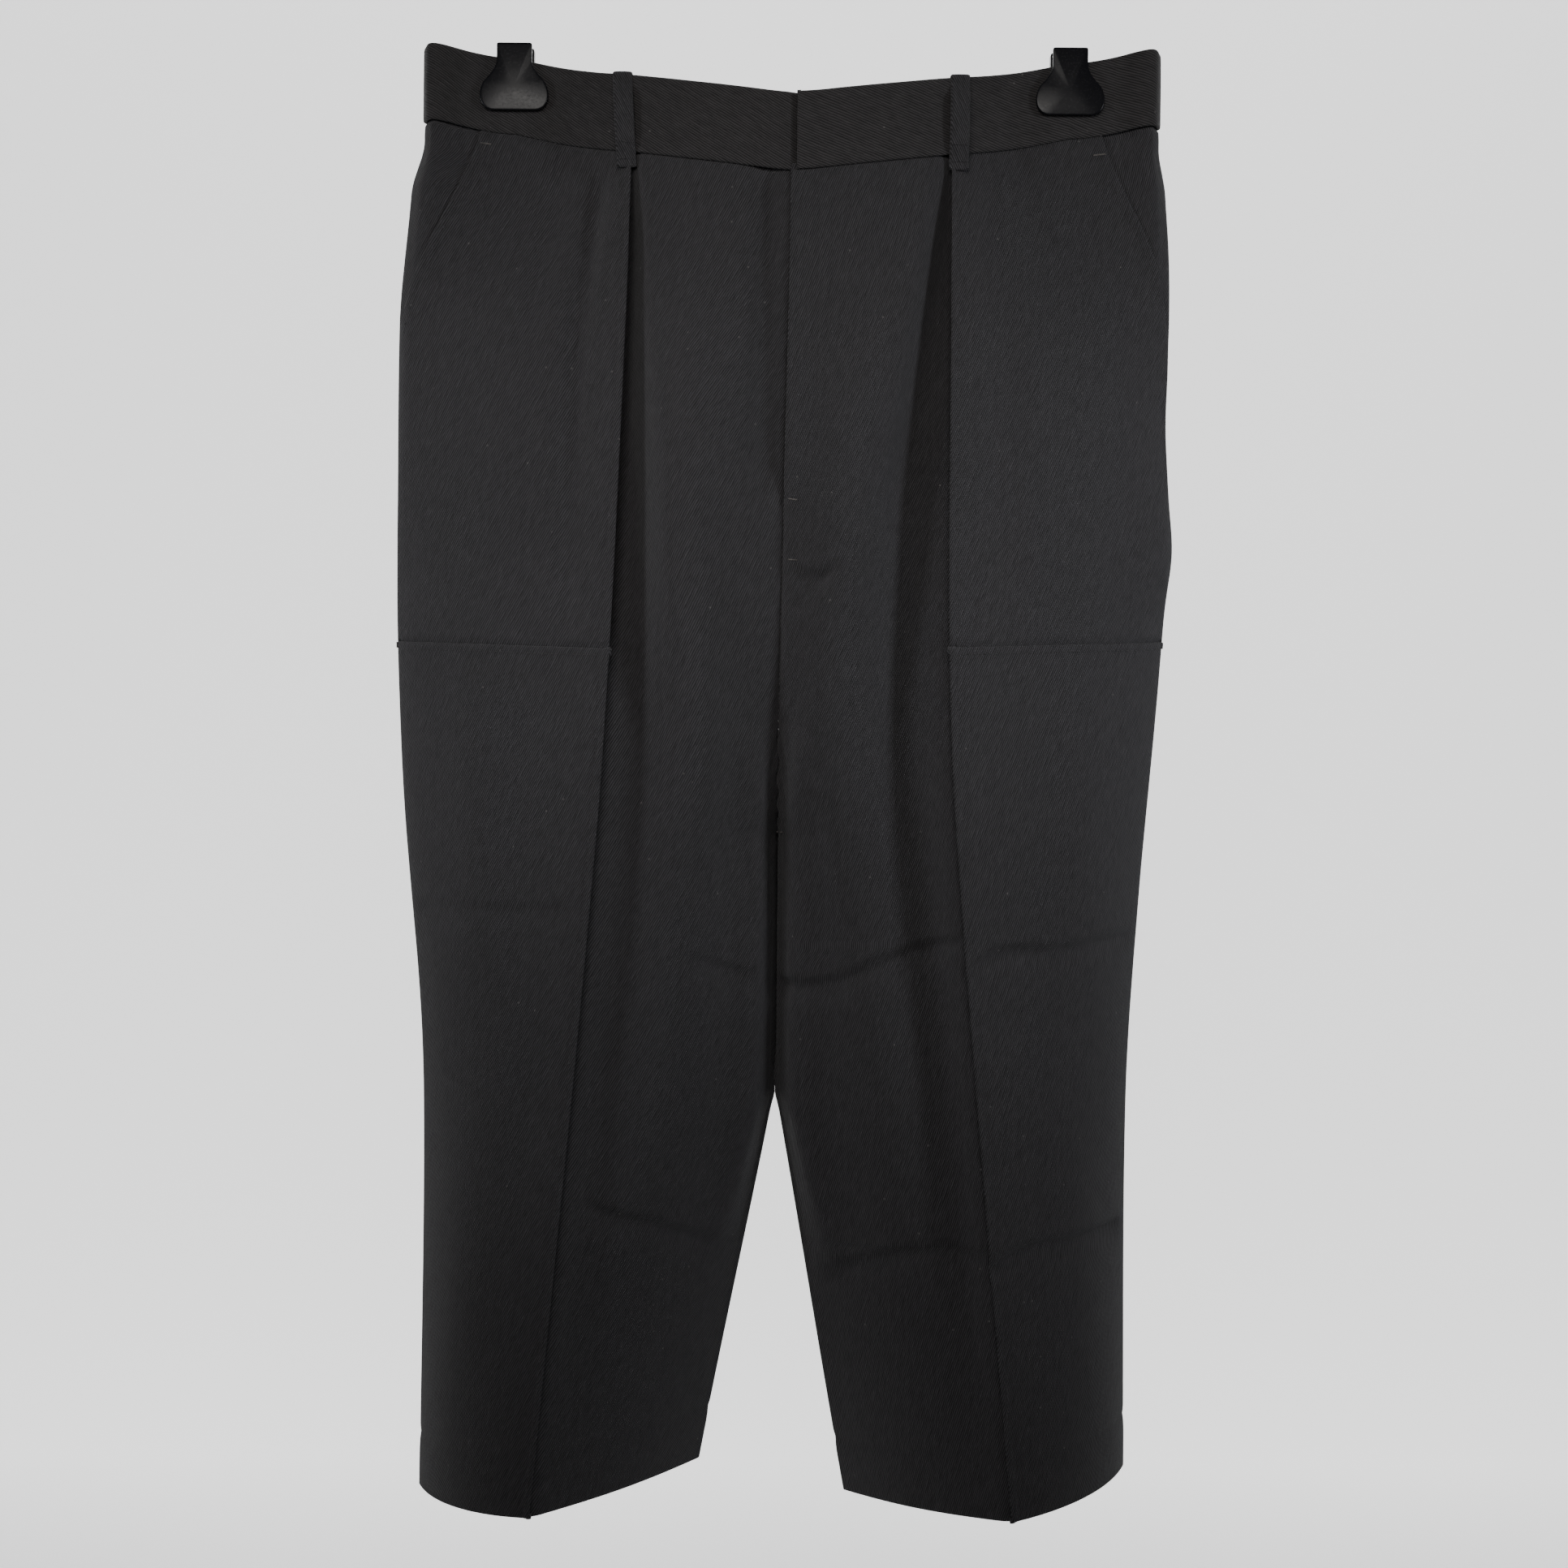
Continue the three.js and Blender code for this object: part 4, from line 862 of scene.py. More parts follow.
def mouth_u(drop):
    """u of the pocket's mouth: a straight line from the band to the side seam."""
    return mix(POCKET_TOP_U, 2, np.clip((drop - MOUTH_TOP_DROP) / (POCKET_END_DROP - MOUTH_TOP_DROP), 0, 1))


print("each pocket opens from", round(MOUTH_TOP_DROP), "to", POCKET_END_DROP, "mm down")

# %% Upper outer panels: from the band to under the thigh seam
INSIDE_U = 1.006  # the first column past the turned edge
inside = np.linspace(0, 1, 70) ** 1.1
mouth_edge = np.array([(-0.012, 0.0), (-0.004, 0.02), (0.0, -0.35), (0.0015, -0.9), (-0.006, -1.35)])
seam_edge = np.array([-0.012, -0.009, -0.006, -0.003, 0.0])
OPEN = len(mouth_edge)
for side, sign in SIDES:
    first_u = np.concatenate(
        [1 + TURNED[:, 0], mix(INSIDE_U, POCKET_TOP_U - 0.02, inside), POCKET_TOP_U + mouth_edge[:, 0]])
    drop, _ = rows_from_band(band_bottom(first_u), THIGH_SEAM_DROP + THIGH_LAP, hem=False)
    is_open = 1 - smooth(152, 161, drop[:, :1])
    turned = np.repeat(1 + TURNED[None, :, 0], len(drop), 0)
    last = mouth_u(drop[:, -OPEN:]) + mix(seam_edge, mouth_edge[:, 0], is_open)
    u = np.concatenate([turned, mix(INSIDE_U, mouth_u(drop[:, EDGE:-OPEN]) - 0.02, inside), last], 1)
    added = -1.3 * smooth(THIGH_SEAM_DROP - 2.5, THIGH_SEAM_DROP - 0.3, drop)
    added[:, :EDGE] += TURNED[:, 1]
    added[:, -OPEN:] += is_open * mouth_edge[:, 1]
    points = place("front", sign, np.minimum(u, 2), drop, outer_lift(sign, u, drop) + added, True)
    cloth_sheet(f"front_upper_{side}", points, [f"front_upper_panel_{side}"], cloth, (sign * 60, 0, -200),
                origin_column=EDGE, flip_across=sign < 0)

# %% Lower outer panels: from the thigh seam, over the upper panel's end, to the hem
top_roll = np.array([
    (3.0, -1.5), (1.0, -1.6), (-0.1, -1.2), (-0.5, -0.5), (-0.3, 0.0), (0.5, 0.25), (1.6, 0.3)])
main = np.linspace(THIGH_SEAM_DROP + 3, LEG_DROP - 0.5, 205)
down = np.concatenate([THIGH_SEAM_DROP + top_roll[:, 0], main, LEG_DROP + HEM_ROLL[:, 0]])
lower_u = np.concatenate([1 + TURNED[:, 0], mix(INSIDE_U, 1.97, inside), 2 + seam_edge * 1.6])
for side, sign in SIDES:
    u, drop = np.broadcast_arrays(lower_u[None], down[:, None])
    off_side = 1 - smooth(1.96, 2, u)
    added = 0.35 * hump(drop, THIGH_SEAM_DROP + 3, 2.5) * off_side
    added[:, :EDGE] += TURNED[:, 1]
    added[:len(top_roll)] += top_roll[:, 1:] * off_side[:len(top_roll)]
    added[-len(HEM_ROLL):] += HEM_ROLL[:, 1:]
    points = place("front", sign, u, drop, outer_lift(sign, u, drop) + added, True)
    cloth_sheet(f"front_lower_{side}", points, [f"front_lower_panel_{side}"], cloth, (sign * 60, 0, -500),
                origin_column=EDGE, flip_across=sign < 0)

# %% [markdown]
# ### The back
# The back has no pleat and no cross seam: one panel a side, with a pressed crease, a hollow under the
# seat and long soft drapes. Nothing on it needs an edge of its own, so a plain grid is enough.

# %% Back panels
plain = np.concatenate([np.linspace(0, 0.03, 5)[:-1], np.linspace(0.03, 1.97, 118), [1.98, 1.987, 1.994, 2.0]])
for side, sign in SIDES:
    drop, added = rows_from_band(band_bottom(plain), LEG_DROP)
    u = np.repeat(plain[None], len(drop), 0)
    points = place("back", sign, u, drop, back_lift(sign, u, drop) + added)
    cloth_sheet(f"back_{side}", points, [f"back_panel_{side}"], cloth, (sign * 60, 0, -400), origin_column=62,
                flip_across=sign > 0)

# %% The cloth behind each pocket's mouth
for side, sign in SIDES:
    across = np.linspace(0, 1, 26)
    down = np.concatenate([np.array([-3.0, -1.4, -0.3, 0.8, 2.4]), np.linspace(5, 119, 66)])
    guess = mix(POCKET_TOP_U - 0.1, 2, across)
    drop = np.minimum(band_bottom(guess)[None] + down[:, None], POCKET_END_DROP + 4)
    low = np.minimum(mouth_u(drop) - 0.07, 1.96)
    u = low + (2 - low) * across
    sunk = BEHIND_CLOTH * (1 - smooth(1.94, 2, u))
    points = place("front", sign, u, drop, outer_lift(sign, u, drop) + sunk, True)
    cloth_sheet(f"pocket_facing_{side}_finish", points, [f"pocket_facing_{side}"], cloth,
                (sign * 60, 0, -100), thickness=0.6, origin_column=len(across) - 1, flip_across=sign < 0)

# %% [markdown]
# ## Waistband
# The band is one profile, turned over at its top edge, carried along the waist's plan. The wearer's
# left end laps over the right, whose underlap dips behind it and carries the bar for the hook.

# %% Band plan
LAP_END, LINING_END = 3.0, 1.0  # x where the left half's cloth and the right half's lining end
BAND_TURN = np.array([(4.6, -1.9), (3.3, -1.95), (2.7, -1.3), (2.65, -0.45)])  # (x, extra inset)


def underlap_dip(x):
    """How far the right end dips behind the left one."""
    return UNDERLAP_DEPTH * (1 - smooth(-13, LAP_END, x))


def band_line(sign, part):
    """Plan of one half of the band, front centre to back centre: x, depth signed to the back, outward
    normal and extra inset of the left end's turned edge."""
    front_u = np.concatenate([np.linspace(0, 1.8, 190), np.linspace(1.805, 2, 34)])
    back_u = front_u[::-1][1:]
    x, y = waist_x(front_u), waist_y(front_u)
    if sign > 0:
        keep = x > LAP_END
        x = np.concatenate([[LAP_END], x[keep]])
        y = np.concatenate([[waist_y(LAP_END / CREASE_WAIST)], y[keep]]) + 1.3 * hump(x, 2.5, 9)
    elif part == "cloth":
        under = np.linspace(-UNDERLAP, 0, 60)[:-1]
        x = np.concatenate([under, x])
        y = np.concatenate([np.full(len(under), WAIST_BELLY), y]) - underlap_dip(x)
    else:
        keep = x > LINING_END
        x, y = x[keep], y[keep]
        y = y - underlap_dip(x)
    px = np.concatenate([x, waist_x(back_u)])
    py = np.concatenate([-y, waist_y(back_u)])
    px[-1] = 0.0
    dx, dy = np.gradient(px), np.gradient(py)
    length = np.hypot(dx, dy)
    inset = np.zeros(len(px))
    nx, ny = dy / length, -dx / length
    nx[-1], ny[-1] = 0, 1
    if sign > 0:
        turned = len(BAND_TURN)
        px, inset = np.concatenate([BAND_TURN[:, 0], px]), np.concatenate([BAND_TURN[:, 1], inset])
        py, nx, ny = (np.concatenate([np.repeat(v[0], turned), v]) for v in (py, nx, ny))
    return px, py, nx, ny, inset


def band_rows(sign, line, profile):
    """Rows of a strip on the plan: `profile` holds (below the top edge, out from the middle). The outer
    face is pressed in under a clip's pad and ripples a little above its seam."""
    px, py, nx, ny, inset = line
    below, out = profile[:, :1], profile[:, 1:]
    pressed = 0.42 * window(np.abs(px), 122, 127, 168, 174)
    ripple = 0.16 * np.sin(px / 6.5 + 1.1 * np.sin(px / 23)) * (np.abs(px) < 120)
    shell = np.where(out > 0, out - pressed + ripple * hump(below, 34, 9), out)
    shell = shell + inset[None] * (out > 0.2)
    x = sign * (px + nx * shell)
    y = py + ny * shell
    z = -band_top(px)[None] - below
    return np.stack([x, y, np.broadcast_to(z, x.shape)], -1)


# %% Band and lining
BAND_PROFILE = np.array([
    (40.3, -0.35), (40.35, 0.3), (40.1, 0.85), (39.3, 1.12), (38, 1.2), (36, 1.22), (33, 1.22), (30, 1.22),
    (26, 1.24), (22, 1.26), (18, 1.26), (14, 1.25), (10, 1.24), (7, 1.22), (4.5, 1.2), (2.8, 1.15),
    (1.6, 1.05), (0.8, 0.85), (0.25, 0.5), (0.0, 0.05), (0.1, -0.4), (0.5, -0.8), (1.3, -1.0), (2.5, -1.08),
    (4.5, -1.1), (7, -1.1),
])
LINING_PROFILE = np.array([
    (4.0, -1.75), (4.4, -1.8), (8, -1.8), (14, -1.8), (20, -1.8), (26, -1.8), (32, -1.8), (37, -1.8),
    (39, -1.78),
])
for side, sign in SIDES:
    line = band_line(sign, "cloth")
    points = band_rows(sign, line, BAND_PROFILE)
    radial = np.stack(np.broadcast_arrays(sign * line[2][None], line[3][None], 0.0), -1)
    out_or_in = np.where(BAND_PROFILE[:, 1] > 0.02, 1.0, -1.0)[:, None, None]
    cloth_sheet(f"waistband_{side}_finish", points, [f"waistband_{side}"], band_cloth,
                radial * out_or_in + np.array([0, 0, 0.02]), flip_across=sign < 0)
    line = tuple(v[(len(BAND_TURN) if sign > 0 else 0):] for v in band_line(sign, "lining"))
    points = band_rows(sign, line, LINING_PROFILE)
    radial = np.stack(np.broadcast_arrays(-sign * line[2][None], -line[3][None], 0.0), -1)
    cloth_sheet(f"waistband_lining_{side}_finish", points, [f"waistband_lining_{side}"], lining,
                np.broadcast_to(radial, points.shape), thickness=LINING)

# %% [markdown]
# ## Belt loops, hems and pocket bags
# A belt loop is a folded strip, sewn down at the band's top edge and again just below its seam, and
# it stands off the band between them. Its shape is one curve in the plane at right angles to the
# band, given a width. The turned hem and the pocket bags are quiet sheets inside the legs.

# %% Belt loops
LOOP_WIDTH, LOOP_OVERHANG, LOOP_ROOM, LOOP_MIDDLE = 10.3, 9.5, 5.0, 20
LOOP_REACH = BAND_HEIGHT + LOOP_OVERHANG  # from the band's top edge to the loop's lower end


def loop_curve(lower):
    """(out, drop) of a loop's middle: round the band's top edge, off the band, and turned in again at
    its foot, where the cloth lies `lower` further out."""
    return np.array([
        (-0.8, 3.5), (-1.5, 0.6), (-0.6, -0.75), (0.9, -1.0), (2.5, -0.2), (3.2, 2.4), (4.0, 6.5),
        (1.9 + LOOP_ROOM, 13), (2.2 + LOOP_ROOM, 24), (1.4 + LOOP_ROOM, LOOP_REACH - 13),
        (3.3 + lower * 0.8, LOOP_REACH - 4.5), (2.9 + lower, LOOP_REACH - 1.2), (2.4 + lower, LOOP_REACH),
        (1.7 + lower, LOOP_REACH - 0.4), (1.6 + lower, LOOP_REACH - 3),
    ])


def belt_loop(name, face, sign, x, slant=0.0):
    """A strip whose middle follows the loop's curve, with edges that round over, and two rows of
    stitches across its foot. `slant` is how far it steps sideways for each millimetre down."""
    beyond = (x - CREASE_WAIST) / (waist_x(1.2) - CREASE_WAIST)
    u = x / CREASE_WAIST if x < CREASE_WAIST else 1 + 0.2 * beyond
    top = float(band_top(x))
    base = np.array(section(face, u, top + 1))
    normal = np.array(outward(face, u, top + 1))
    low = np.array(section(face, u, top + LOOP_REACH))
    knots = loop_curve(float((low - base) @ normal))
    reach = np.concatenate([[0], np.cumsum(np.hypot(*np.diff(knots, axis=0).T))])
    t = np.linspace(0, reach[-1], 90)
    out, down = (curve_through(*zip(reach, knots[:, k]))(t) for k in (0, 1))
    v = np.array([-1.0, -0.985, -0.93, -0.8, -0.5, -0.17, 0.17, 0.5, 0.8, 0.93, 0.985, 1.0])
    round_off = -0.9 * np.maximum(0, (np.abs(v) - 0.86) / 0.14) ** 2 + 0.18 * (1 - v**2)
    round_off -= 0.1 * hump(np.abs(v), 0.72, 0.06)
    side_way = 1 if face == "back" else -1
    normal3 = np.array([sign * normal[0], side_way * normal[1], 0.0])
    along = np.cross(normal3, [0, 0, 1.0])
    slope_out, slope_down = np.gradient(out), np.gradient(down)
    size = np.hypot(slope_out, slope_down)
    face_out, face_down = slope_down / size, -slope_out / size
    centre = np.array([sign * base[0], side_way * base[1], 0.0])
    o = out[:, None] + face_out[:, None] * round_off[None]
    d = top + down[:, None] + face_down[:, None] * round_off[None]
    w = v[None] * LOOP_WIDTH / 2 + slant * (down[:, None] - LOOP_MIDDLE)
    points = centre + o[..., None] * normal3 + w[..., None] * along + d[..., None] * np.array([0, 0, -1.0])
    away = face_out[:, None, None] * normal3 + face_down[:, None, None] * np.array([0, 0, -1.0])
    cloth_sheet(name + "_finish", points, [name], cloth, np.broadcast_to(away, points.shape), thickness=1.0,
                origin_column=5)
    rows = []
    for stop in (reach[-5] + 0.2, reach[-6] + 0.8):
        k = int(np.argmin(np.abs(t - stop)))
        middle = centre + (o[k, 5] + 0.22) * normal3 + np.array([0, 0, -d[k, 5]])
        sideways = np.linspace(-0.72, 0.72, 6) * LOOP_WIDTH / 2 + slant * (down[k] - LOOP_MIDDLE)
        rows.append(middle + sideways[:, None] * along)
    line = np.concatenate(rows)
    up, across = np.broadcast_to(normal3, line.shape), np.broadcast_to(along, line.shape)
    stitches(name + "_stitches", line, up, across, 1.2, 0.5)


LOOP_FRONT_X, LOOP_BACK_X = 88, 96
belt_loop("belt_loop_front_right", "front", -1, LOOP_FRONT_X, slant=-0.055)
belt_loop("belt_loop_front_left", "front", 1, LOOP_FRONT_X, slant=0.01)
belt_loop("belt_loop_back_right", "back", -1, LOOP_BACK_X, slant=0.02)
belt_loop("belt_loop_back_left", "back", 1, LOOP_BACK_X, slant=-0.02)
belt_loop("belt_loop_back_centre", "back", 1, 0.0)

# %% [markdown]
# ### Turned hems
# The hem is the leg's own cloth folded up inside. It could be part of the panels, but its wrong side
# is paler, so it is its own ring of cloth, a little inside the leg and following the same section.

# %% Turned hems
HEM_TURNUP = 28
front_u = np.concatenate([np.linspace(*span)[:-1] for span in ((0, 0.9, 36), (0.9, 1.15, 26), (1.15, 2, 34))])
back_u = np.linspace(2, 0, 94)[:-1]
down = np.concatenate([[LEG_DROP - HEM_TURNUP + 0.8], np.linspace(LEG_DROP - HEM_TURNUP, LEG_DROP - 1.6, 15)])
fold = np.where(np.arange(len(down)) == 0, -0.5, 0.0)[:, None]
for side, sign in SIDES:
    behind_crease = 1.7 * hump(front_u, 1.03, 0.05)[None]
    front = place("front", sign, front_u[None], down[:, None], BEHIND_CLOTH - behind_crease + fold)
    back = place("back", sign, back_u[None], down[:, None], BEHIND_CLOTH + fold)
    ring = np.concatenate([front, back], 1)
    level = np.array([1, 1, 0])
    cloth_sheet(f"hem_turnup_{side}", ring, [f"hem_facing_{side}"], cloth_inside,
                (ring.mean((0, 1)) - ring) * level, thickness=0.6, ring=True)

# %% [markdown]
# ### Pocket bags
# A pocket bag is a flat pouch of cotton that hangs inside the thigh. It is seen only through the
# waist, so one sheet with a round lower end and a slight ripple stands for its two layers.

# %% Pocket bags
POCKET_BAG_DROP = 285
for side, sign in SIDES:
    rounding = np.sin(np.linspace(0, math.pi / 2, 22)[1:])
    t = np.concatenate([np.linspace(0, 0.8, 60), 0.8 + 0.2 * rounding])[:, None]
    across = np.linspace(-1, 1, 34)[None]
    rounded = np.where(t > 0.8, np.sqrt(np.maximum(1 - ((t - 0.8) / 0.2) ** 2, 0.02)), 1.0)
    narrow = rounded * mix(0.82, 1, smooth(0, 0.5, t))
    u = 1.53 + 0.31 * narrow * across
    drop = mix(band_bottom(u) + 0.3, POCKET_BAG_DROP, t)
    lift = -2.75 - 3.2 * smooth(60, 120, drop) - 0.8 * np.sin(3 * across + 5 * t) * smooth(90, 160, drop)
    points = place("front", sign, u, drop, lift, True)
    cloth_sheet(f"pocket_bag_{side}_finish", points, [f"pocket_bag_{side}"], pocketing, (sign * 60, 0, -100),
                thickness=0.8)

# %% [markdown]
# ## Fly, zip and waist hook
# The zip is shut behind the lapped front edge. Its two tapes bend from the cloth to the plane of the
# teeth, a facing and a shield close it off, and the slider and its pull ride on their own bodies.

# %% Fly facing and shield
FLY_FACING = 34
u = np.linspace(0.055, FLY_FACING / CREASE_WAIST, 20)[None]
drop = np.linspace(float(band_bottom(0.0)) + 0.3, FLY_DROP + 5, 90)[:, None]
u, drop = np.broadcast_arrays(u, drop)
rounded = u - 0.16 * smooth(0.2, 0.4, u) * smooth(FLY_DROP - 35, FLY_DROP + 5, drop) ** 2
points = place("front", 1, rounded, drop, BEHIND_CLOTH)
cloth_sheet("fly_facing_finish", points, ["fly_facing"], cloth_inside, (30, 200, -150), thickness=0.6)

ZIP_X, ZIP_DEPTH, TAPE = 10, 14.2, 0.6
chain_y = -(WAIST_BELLY - ZIP_DEPTH)
zip_low, zip_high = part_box("zip_tape_left")
tape_top, tape_bottom = zip_high[2] / MM, zip_low[2] / MM
shield_y = chain_y + 2.3 + 1.4
sewn = -(float(waist_y(40 / CREASE_WAIST)) - 1.7)
x = np.linspace(-40, 27, 48)
depth = curve_through((-40, sewn), (-31, sewn + 1.2), (-14, shield_y), (27, shield_y))(x)
z = np.linspace(tape_top, tape_bottom, 90)[:, None]
points = np.stack(np.broadcast_arrays(x[None], depth[None] + 0.5 * np.sin(z / 19), z), -1)
cloth_sheet("fly_shield_finish", points, ["fly_shield"], cloth_inside, (-7, -400, -150), thickness=1.5)

# %% Zip tapes with their corded edge
for side, sign in SIDES:
    far = ZIP_X + sign * 21
    surface_y = float(waist_y(abs(far) / CREASE_WAIST))
    covered = 0.9 + (1.9 if sign > 0 else 3.2)
    sewn_y = -(surface_y - covered - TAPE / 2)
    line = curve_through((3.3, chain_y), (8.5, chain_y), (13.8, sewn_y), (21, sewn_y))
    s = np.concatenate([np.linspace(3.3, 4.6, 7), np.linspace(4.9, 21, 26)])
    cord = 0.45 * hump(s, 4.0, 0.5)
    points = np.stack(np.broadcast_arrays(ZIP_X + sign * s[None], (line(s) - cord)[None], z), -1)
    cloth_sheet(f"zip_tape_{side}_finish", points, [f"zip_tape_{side}"], tape_cloth, (0, 400, -150),
                thickness=0.45, flip_across=sign < 0)

# %% [markdown]
# ### Zip teeth
# A tooth is about a millimetre and a half high. Each one is a few rings of eight points, because
# there are 170 of them: detail that repeats must be cheap.

# %% Zip teeth
ZIP_PITCH = 2.0


def zip_teeth(side, sign):
    """Moulded teeth, one every pitch: each a stack of rounded rectangles from the tape to its nose,
    whose corners are |cos|^0.6 and |sin|^0.6. The two rows are half a pitch apart."""
    low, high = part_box(f"zip_teeth_{side}")
    top, bottom = high[2] / MM, low[2] / MM
    z = np.arange(top - 1.2 - (0 if sign > 0 else ZIP_PITCH / 2), bottom + 0.8, -ZIP_PITCH)
    reach = np.array([0.62, 0.75, 1.6, 2.5, 2.95, 3.05])
    tall = np.array([0.30, 0.42, 0.36, 0.62, 0.62, 0.4])
    thick = np.array([0.5, 0.85, 0.95, 1.1, 1.1, 0.8])
    turn = (np.arange(8) + 0.5) * math.pi / 4
    ring_y, ring_z = (np.sign(wave) * np.abs(wave) ** 0.6 for wave in (np.cos(turn), np.sin(turn)))
    ring_y, ring_z = thick[:, None] * ring_y, tall[:, None] * ring_z * 1.35
    shape = np.stack(np.broadcast_arrays(ZIP_X + sign * reach[:, None], chain_y + ring_y, ring_z), -1)
    points = shape[None] + np.stack([0 * z, 0 * z, z], -1)[:, None, None, :]
    each = len(reach) * len(turn)
    faces = [face for k in range(len(z)) for face in shell_faces(len(reach), len(turn), k * each)]
    closed_piece(f"zip_teeth_{side}_finish", points, faces, zip_metal, "garment",
                 [f"zip_teeth_{side}"])
    print("zip", side, len(z), "teeth")


for side, sign in SIDES:
    zip_teeth(side, sign)


# %% [markdown]
# ### Slider, pull, stops and hook
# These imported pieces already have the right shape, and lack only the small radius that every stamped
# or cast edge has. A bevel on a cleaned copy gives it, and that thin bright line says metal.

# %% Small metal pieces with rounded edges
def rounded_edges(name, width, finish):
    """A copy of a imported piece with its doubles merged, its flat faces joined and its edges bevelled."""
    source = frame["nodes"][name]
    work = bmesh.new()
    work.from_mesh(source.data)
    bmesh.ops.remove_doubles(work, verts=work.verts, dist=1e-6)
    bmesh.ops.dissolve_limit(work, angle_limit=0.03, verts=work.verts, edges=work.edges)
    mesh = bpy.data.meshes.new(name + "_finish")
    work.to_mesh(mesh)
    work.free()
    mesh.shade_smooth()
    mesh.materials.append(finish)
    piece = bpy.data.objects.new(name + "_finish", mesh)
    bpy.context.scene.collection.objects.link(piece)
    edges = piece.modifiers.new("edges", "BEVEL")
    edges.width, edges.segments, edges.limit_method, edges.angle_limit = width * MM, 3, "ANGLE", 0.6
    edges.harden_normals = True
    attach(piece, source["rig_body"])
    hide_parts(name)
    print(name, len(mesh.polygons), "faces before its bevel")


zip_edges = {"zip_slider": 0.22, "zip_pull": 0.18, "zip_bottom_stop": 0.3, "zip_top_stop_right": 0.25,
             "zip_top_stop_left": 0.25}
for name, width in zip_edges.items():
    rounded_edges(name, width, zip_metal)
for name in ("waist_hook", "waist_bar"):
    rounded_edges(name, 0.2, steel)

# %% [markdown]
# ## Hanger clips
# Each clip has two bell-shaped jaws of smooth black plastic that turn on a pin, with a coil spring
# between. A jaw's plate is a stack of rings, the outline drawn in towards its middle, so its edge
# rounds and its face is gently domed: that is what gives it a soft bright middle and a fine rim.

# %% Bell outline
CLIP_PAD_WIDTH, CLIP_NECK_WIDTH, CLIP_PAD_DROP = 37.0, 18.5, 36.8
JAW_FACE, PIN_DROP, BARREL, PLATE_MIDDLE = 4.1, 4.0, 2.4, 24.0


def bezier(points, count):
    """Points of a Bezier curve by repeated mixing of its control points, without the last."""
    t = np.linspace(0, 1, count, endpoint=False)[:, None]
    level = [np.array(point, float)[None] + 0 * t for point in points]
    while len(level) > 1:
        level = [mix(a, b, t) for a, b in zip(level, level[1:])]
    return level[0]


def bell(top):
    """Outline of a jaw's plate as (x, z): straight neck, concave shoulders, round lower corners."""
    neck, wide, low, b = CLIP_NECK_WIDTH / 2, CLIP_PAD_WIDTH / 2, CLIP_PAD_DROP, BAND_TOP_DROP
    half = np.concatenate([
        bezier([(0, -top), (neck - 1.2, -top)], 6),
        bezier([(neck - 1.2, -top), (neck, -top), (neck, -top - 1.2)], 6),
        bezier([(neck, -top - 1.2), (neck, -b - 3)], 8),
        bezier([(neck, -b - 3), (neck + 0.5, -b - 7), (wide - 3, -low + 16)], 22),
        bezier([(wide - 3, -low + 16), (wide + 1, -low + 11), (wide + 1, -low), (wide - 8, -low)], 30),
        bezier([(wide - 8, -low), (0, -low)], 12),
    ])
    other = half[1:][::-1] * np.array([-1, 1])
    return np.concatenate([half, [[0, -low]], other])


# %% Parts of a clip, each a stack of rings [ring, point, xyz]
def clip_part(part, side, finish, slot, *stacks):
    """One part of a clip from stacks of closed rings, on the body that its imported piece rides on."""
    node_name = f"clip_{part}_{side}"
    faces, start = [], 0
    for stack in stacks:
        faces += shell_faces(*stack.shape[:2], start)
        start += stack.shape[0] * stack.shape[1]
    vertices = np.concatenate([stack.reshape(-1, 3) for stack in stacks])
    body = frame["nodes"][node_name]["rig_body"]
    closed_piece(node_name + "_finish", vertices, faces, finish, body, [node_name])
    print(node_name, len(faces), "faces")


def rings_along_x(cx, steps, loops):
    """Rings in (y, z) about the pin, one at each step along X."""
    return np.array([np.stack([cx + x + 0 * yz[:, 0], yz[:, 0], yz[:, 1] - PIN_DROP], -1)
                     for x, yz in zip(steps, loops)])


def plate_rings(cx, facing):
    """The bell in rings: (share drawn in to the middle, depth from the gripping face)."""
    stack = np.array([
        (0.05, 0.0), (0.012, 0.08), (0.0, 0.4), (0.0, 1.9), (0.004, 2.2), (0.014, 2.4), (0.03, 2.5),
        (0.06, 2.56), (0.12, 2.64), (0.25, 2.8), (0.45, 3.0), (0.65, 3.12), (0.85, 3.18)])
    drawn, depth = stack[:, :1], stack[:, 1:]
    outline = bell(1.0)
    x, z = mix(outline[:, 0], 0.0, drawn), mix(outline[:, 1], -PLATE_MIDDLE, drawn)
    return np.stack(np.broadcast_arrays(cx + x, facing * (JAW_FACE + depth), z), -1)


def knuckle(cx, width, facing):
    """A barrel round the pin with the web that joins it to the plate, one loop in (y, z) along X."""
    turn = np.linspace(math.radians(48), math.radians(312), 26)
    loop = np.stack([BARREL * np.cos(turn) * facing, BARREL * np.sin(turn)], -1)
    web = np.array([(facing * (JAW_FACE + 0.6), -2.1), (facing * (JAW_FACE + 0.6), 2.1)])
    loop = np.concatenate([loop, web])
    steps = np.array([-0.5, -0.47, -0.4, 0.4, 0.47, 0.5]) * width
    towards = np.array([facing * 0.4, 0])
    return rings_along_x(cx, steps, [mix(towards, loop, scale) for scale in (0.86, 0.93, 1.0, 1.0, 0.93, 0.86)])


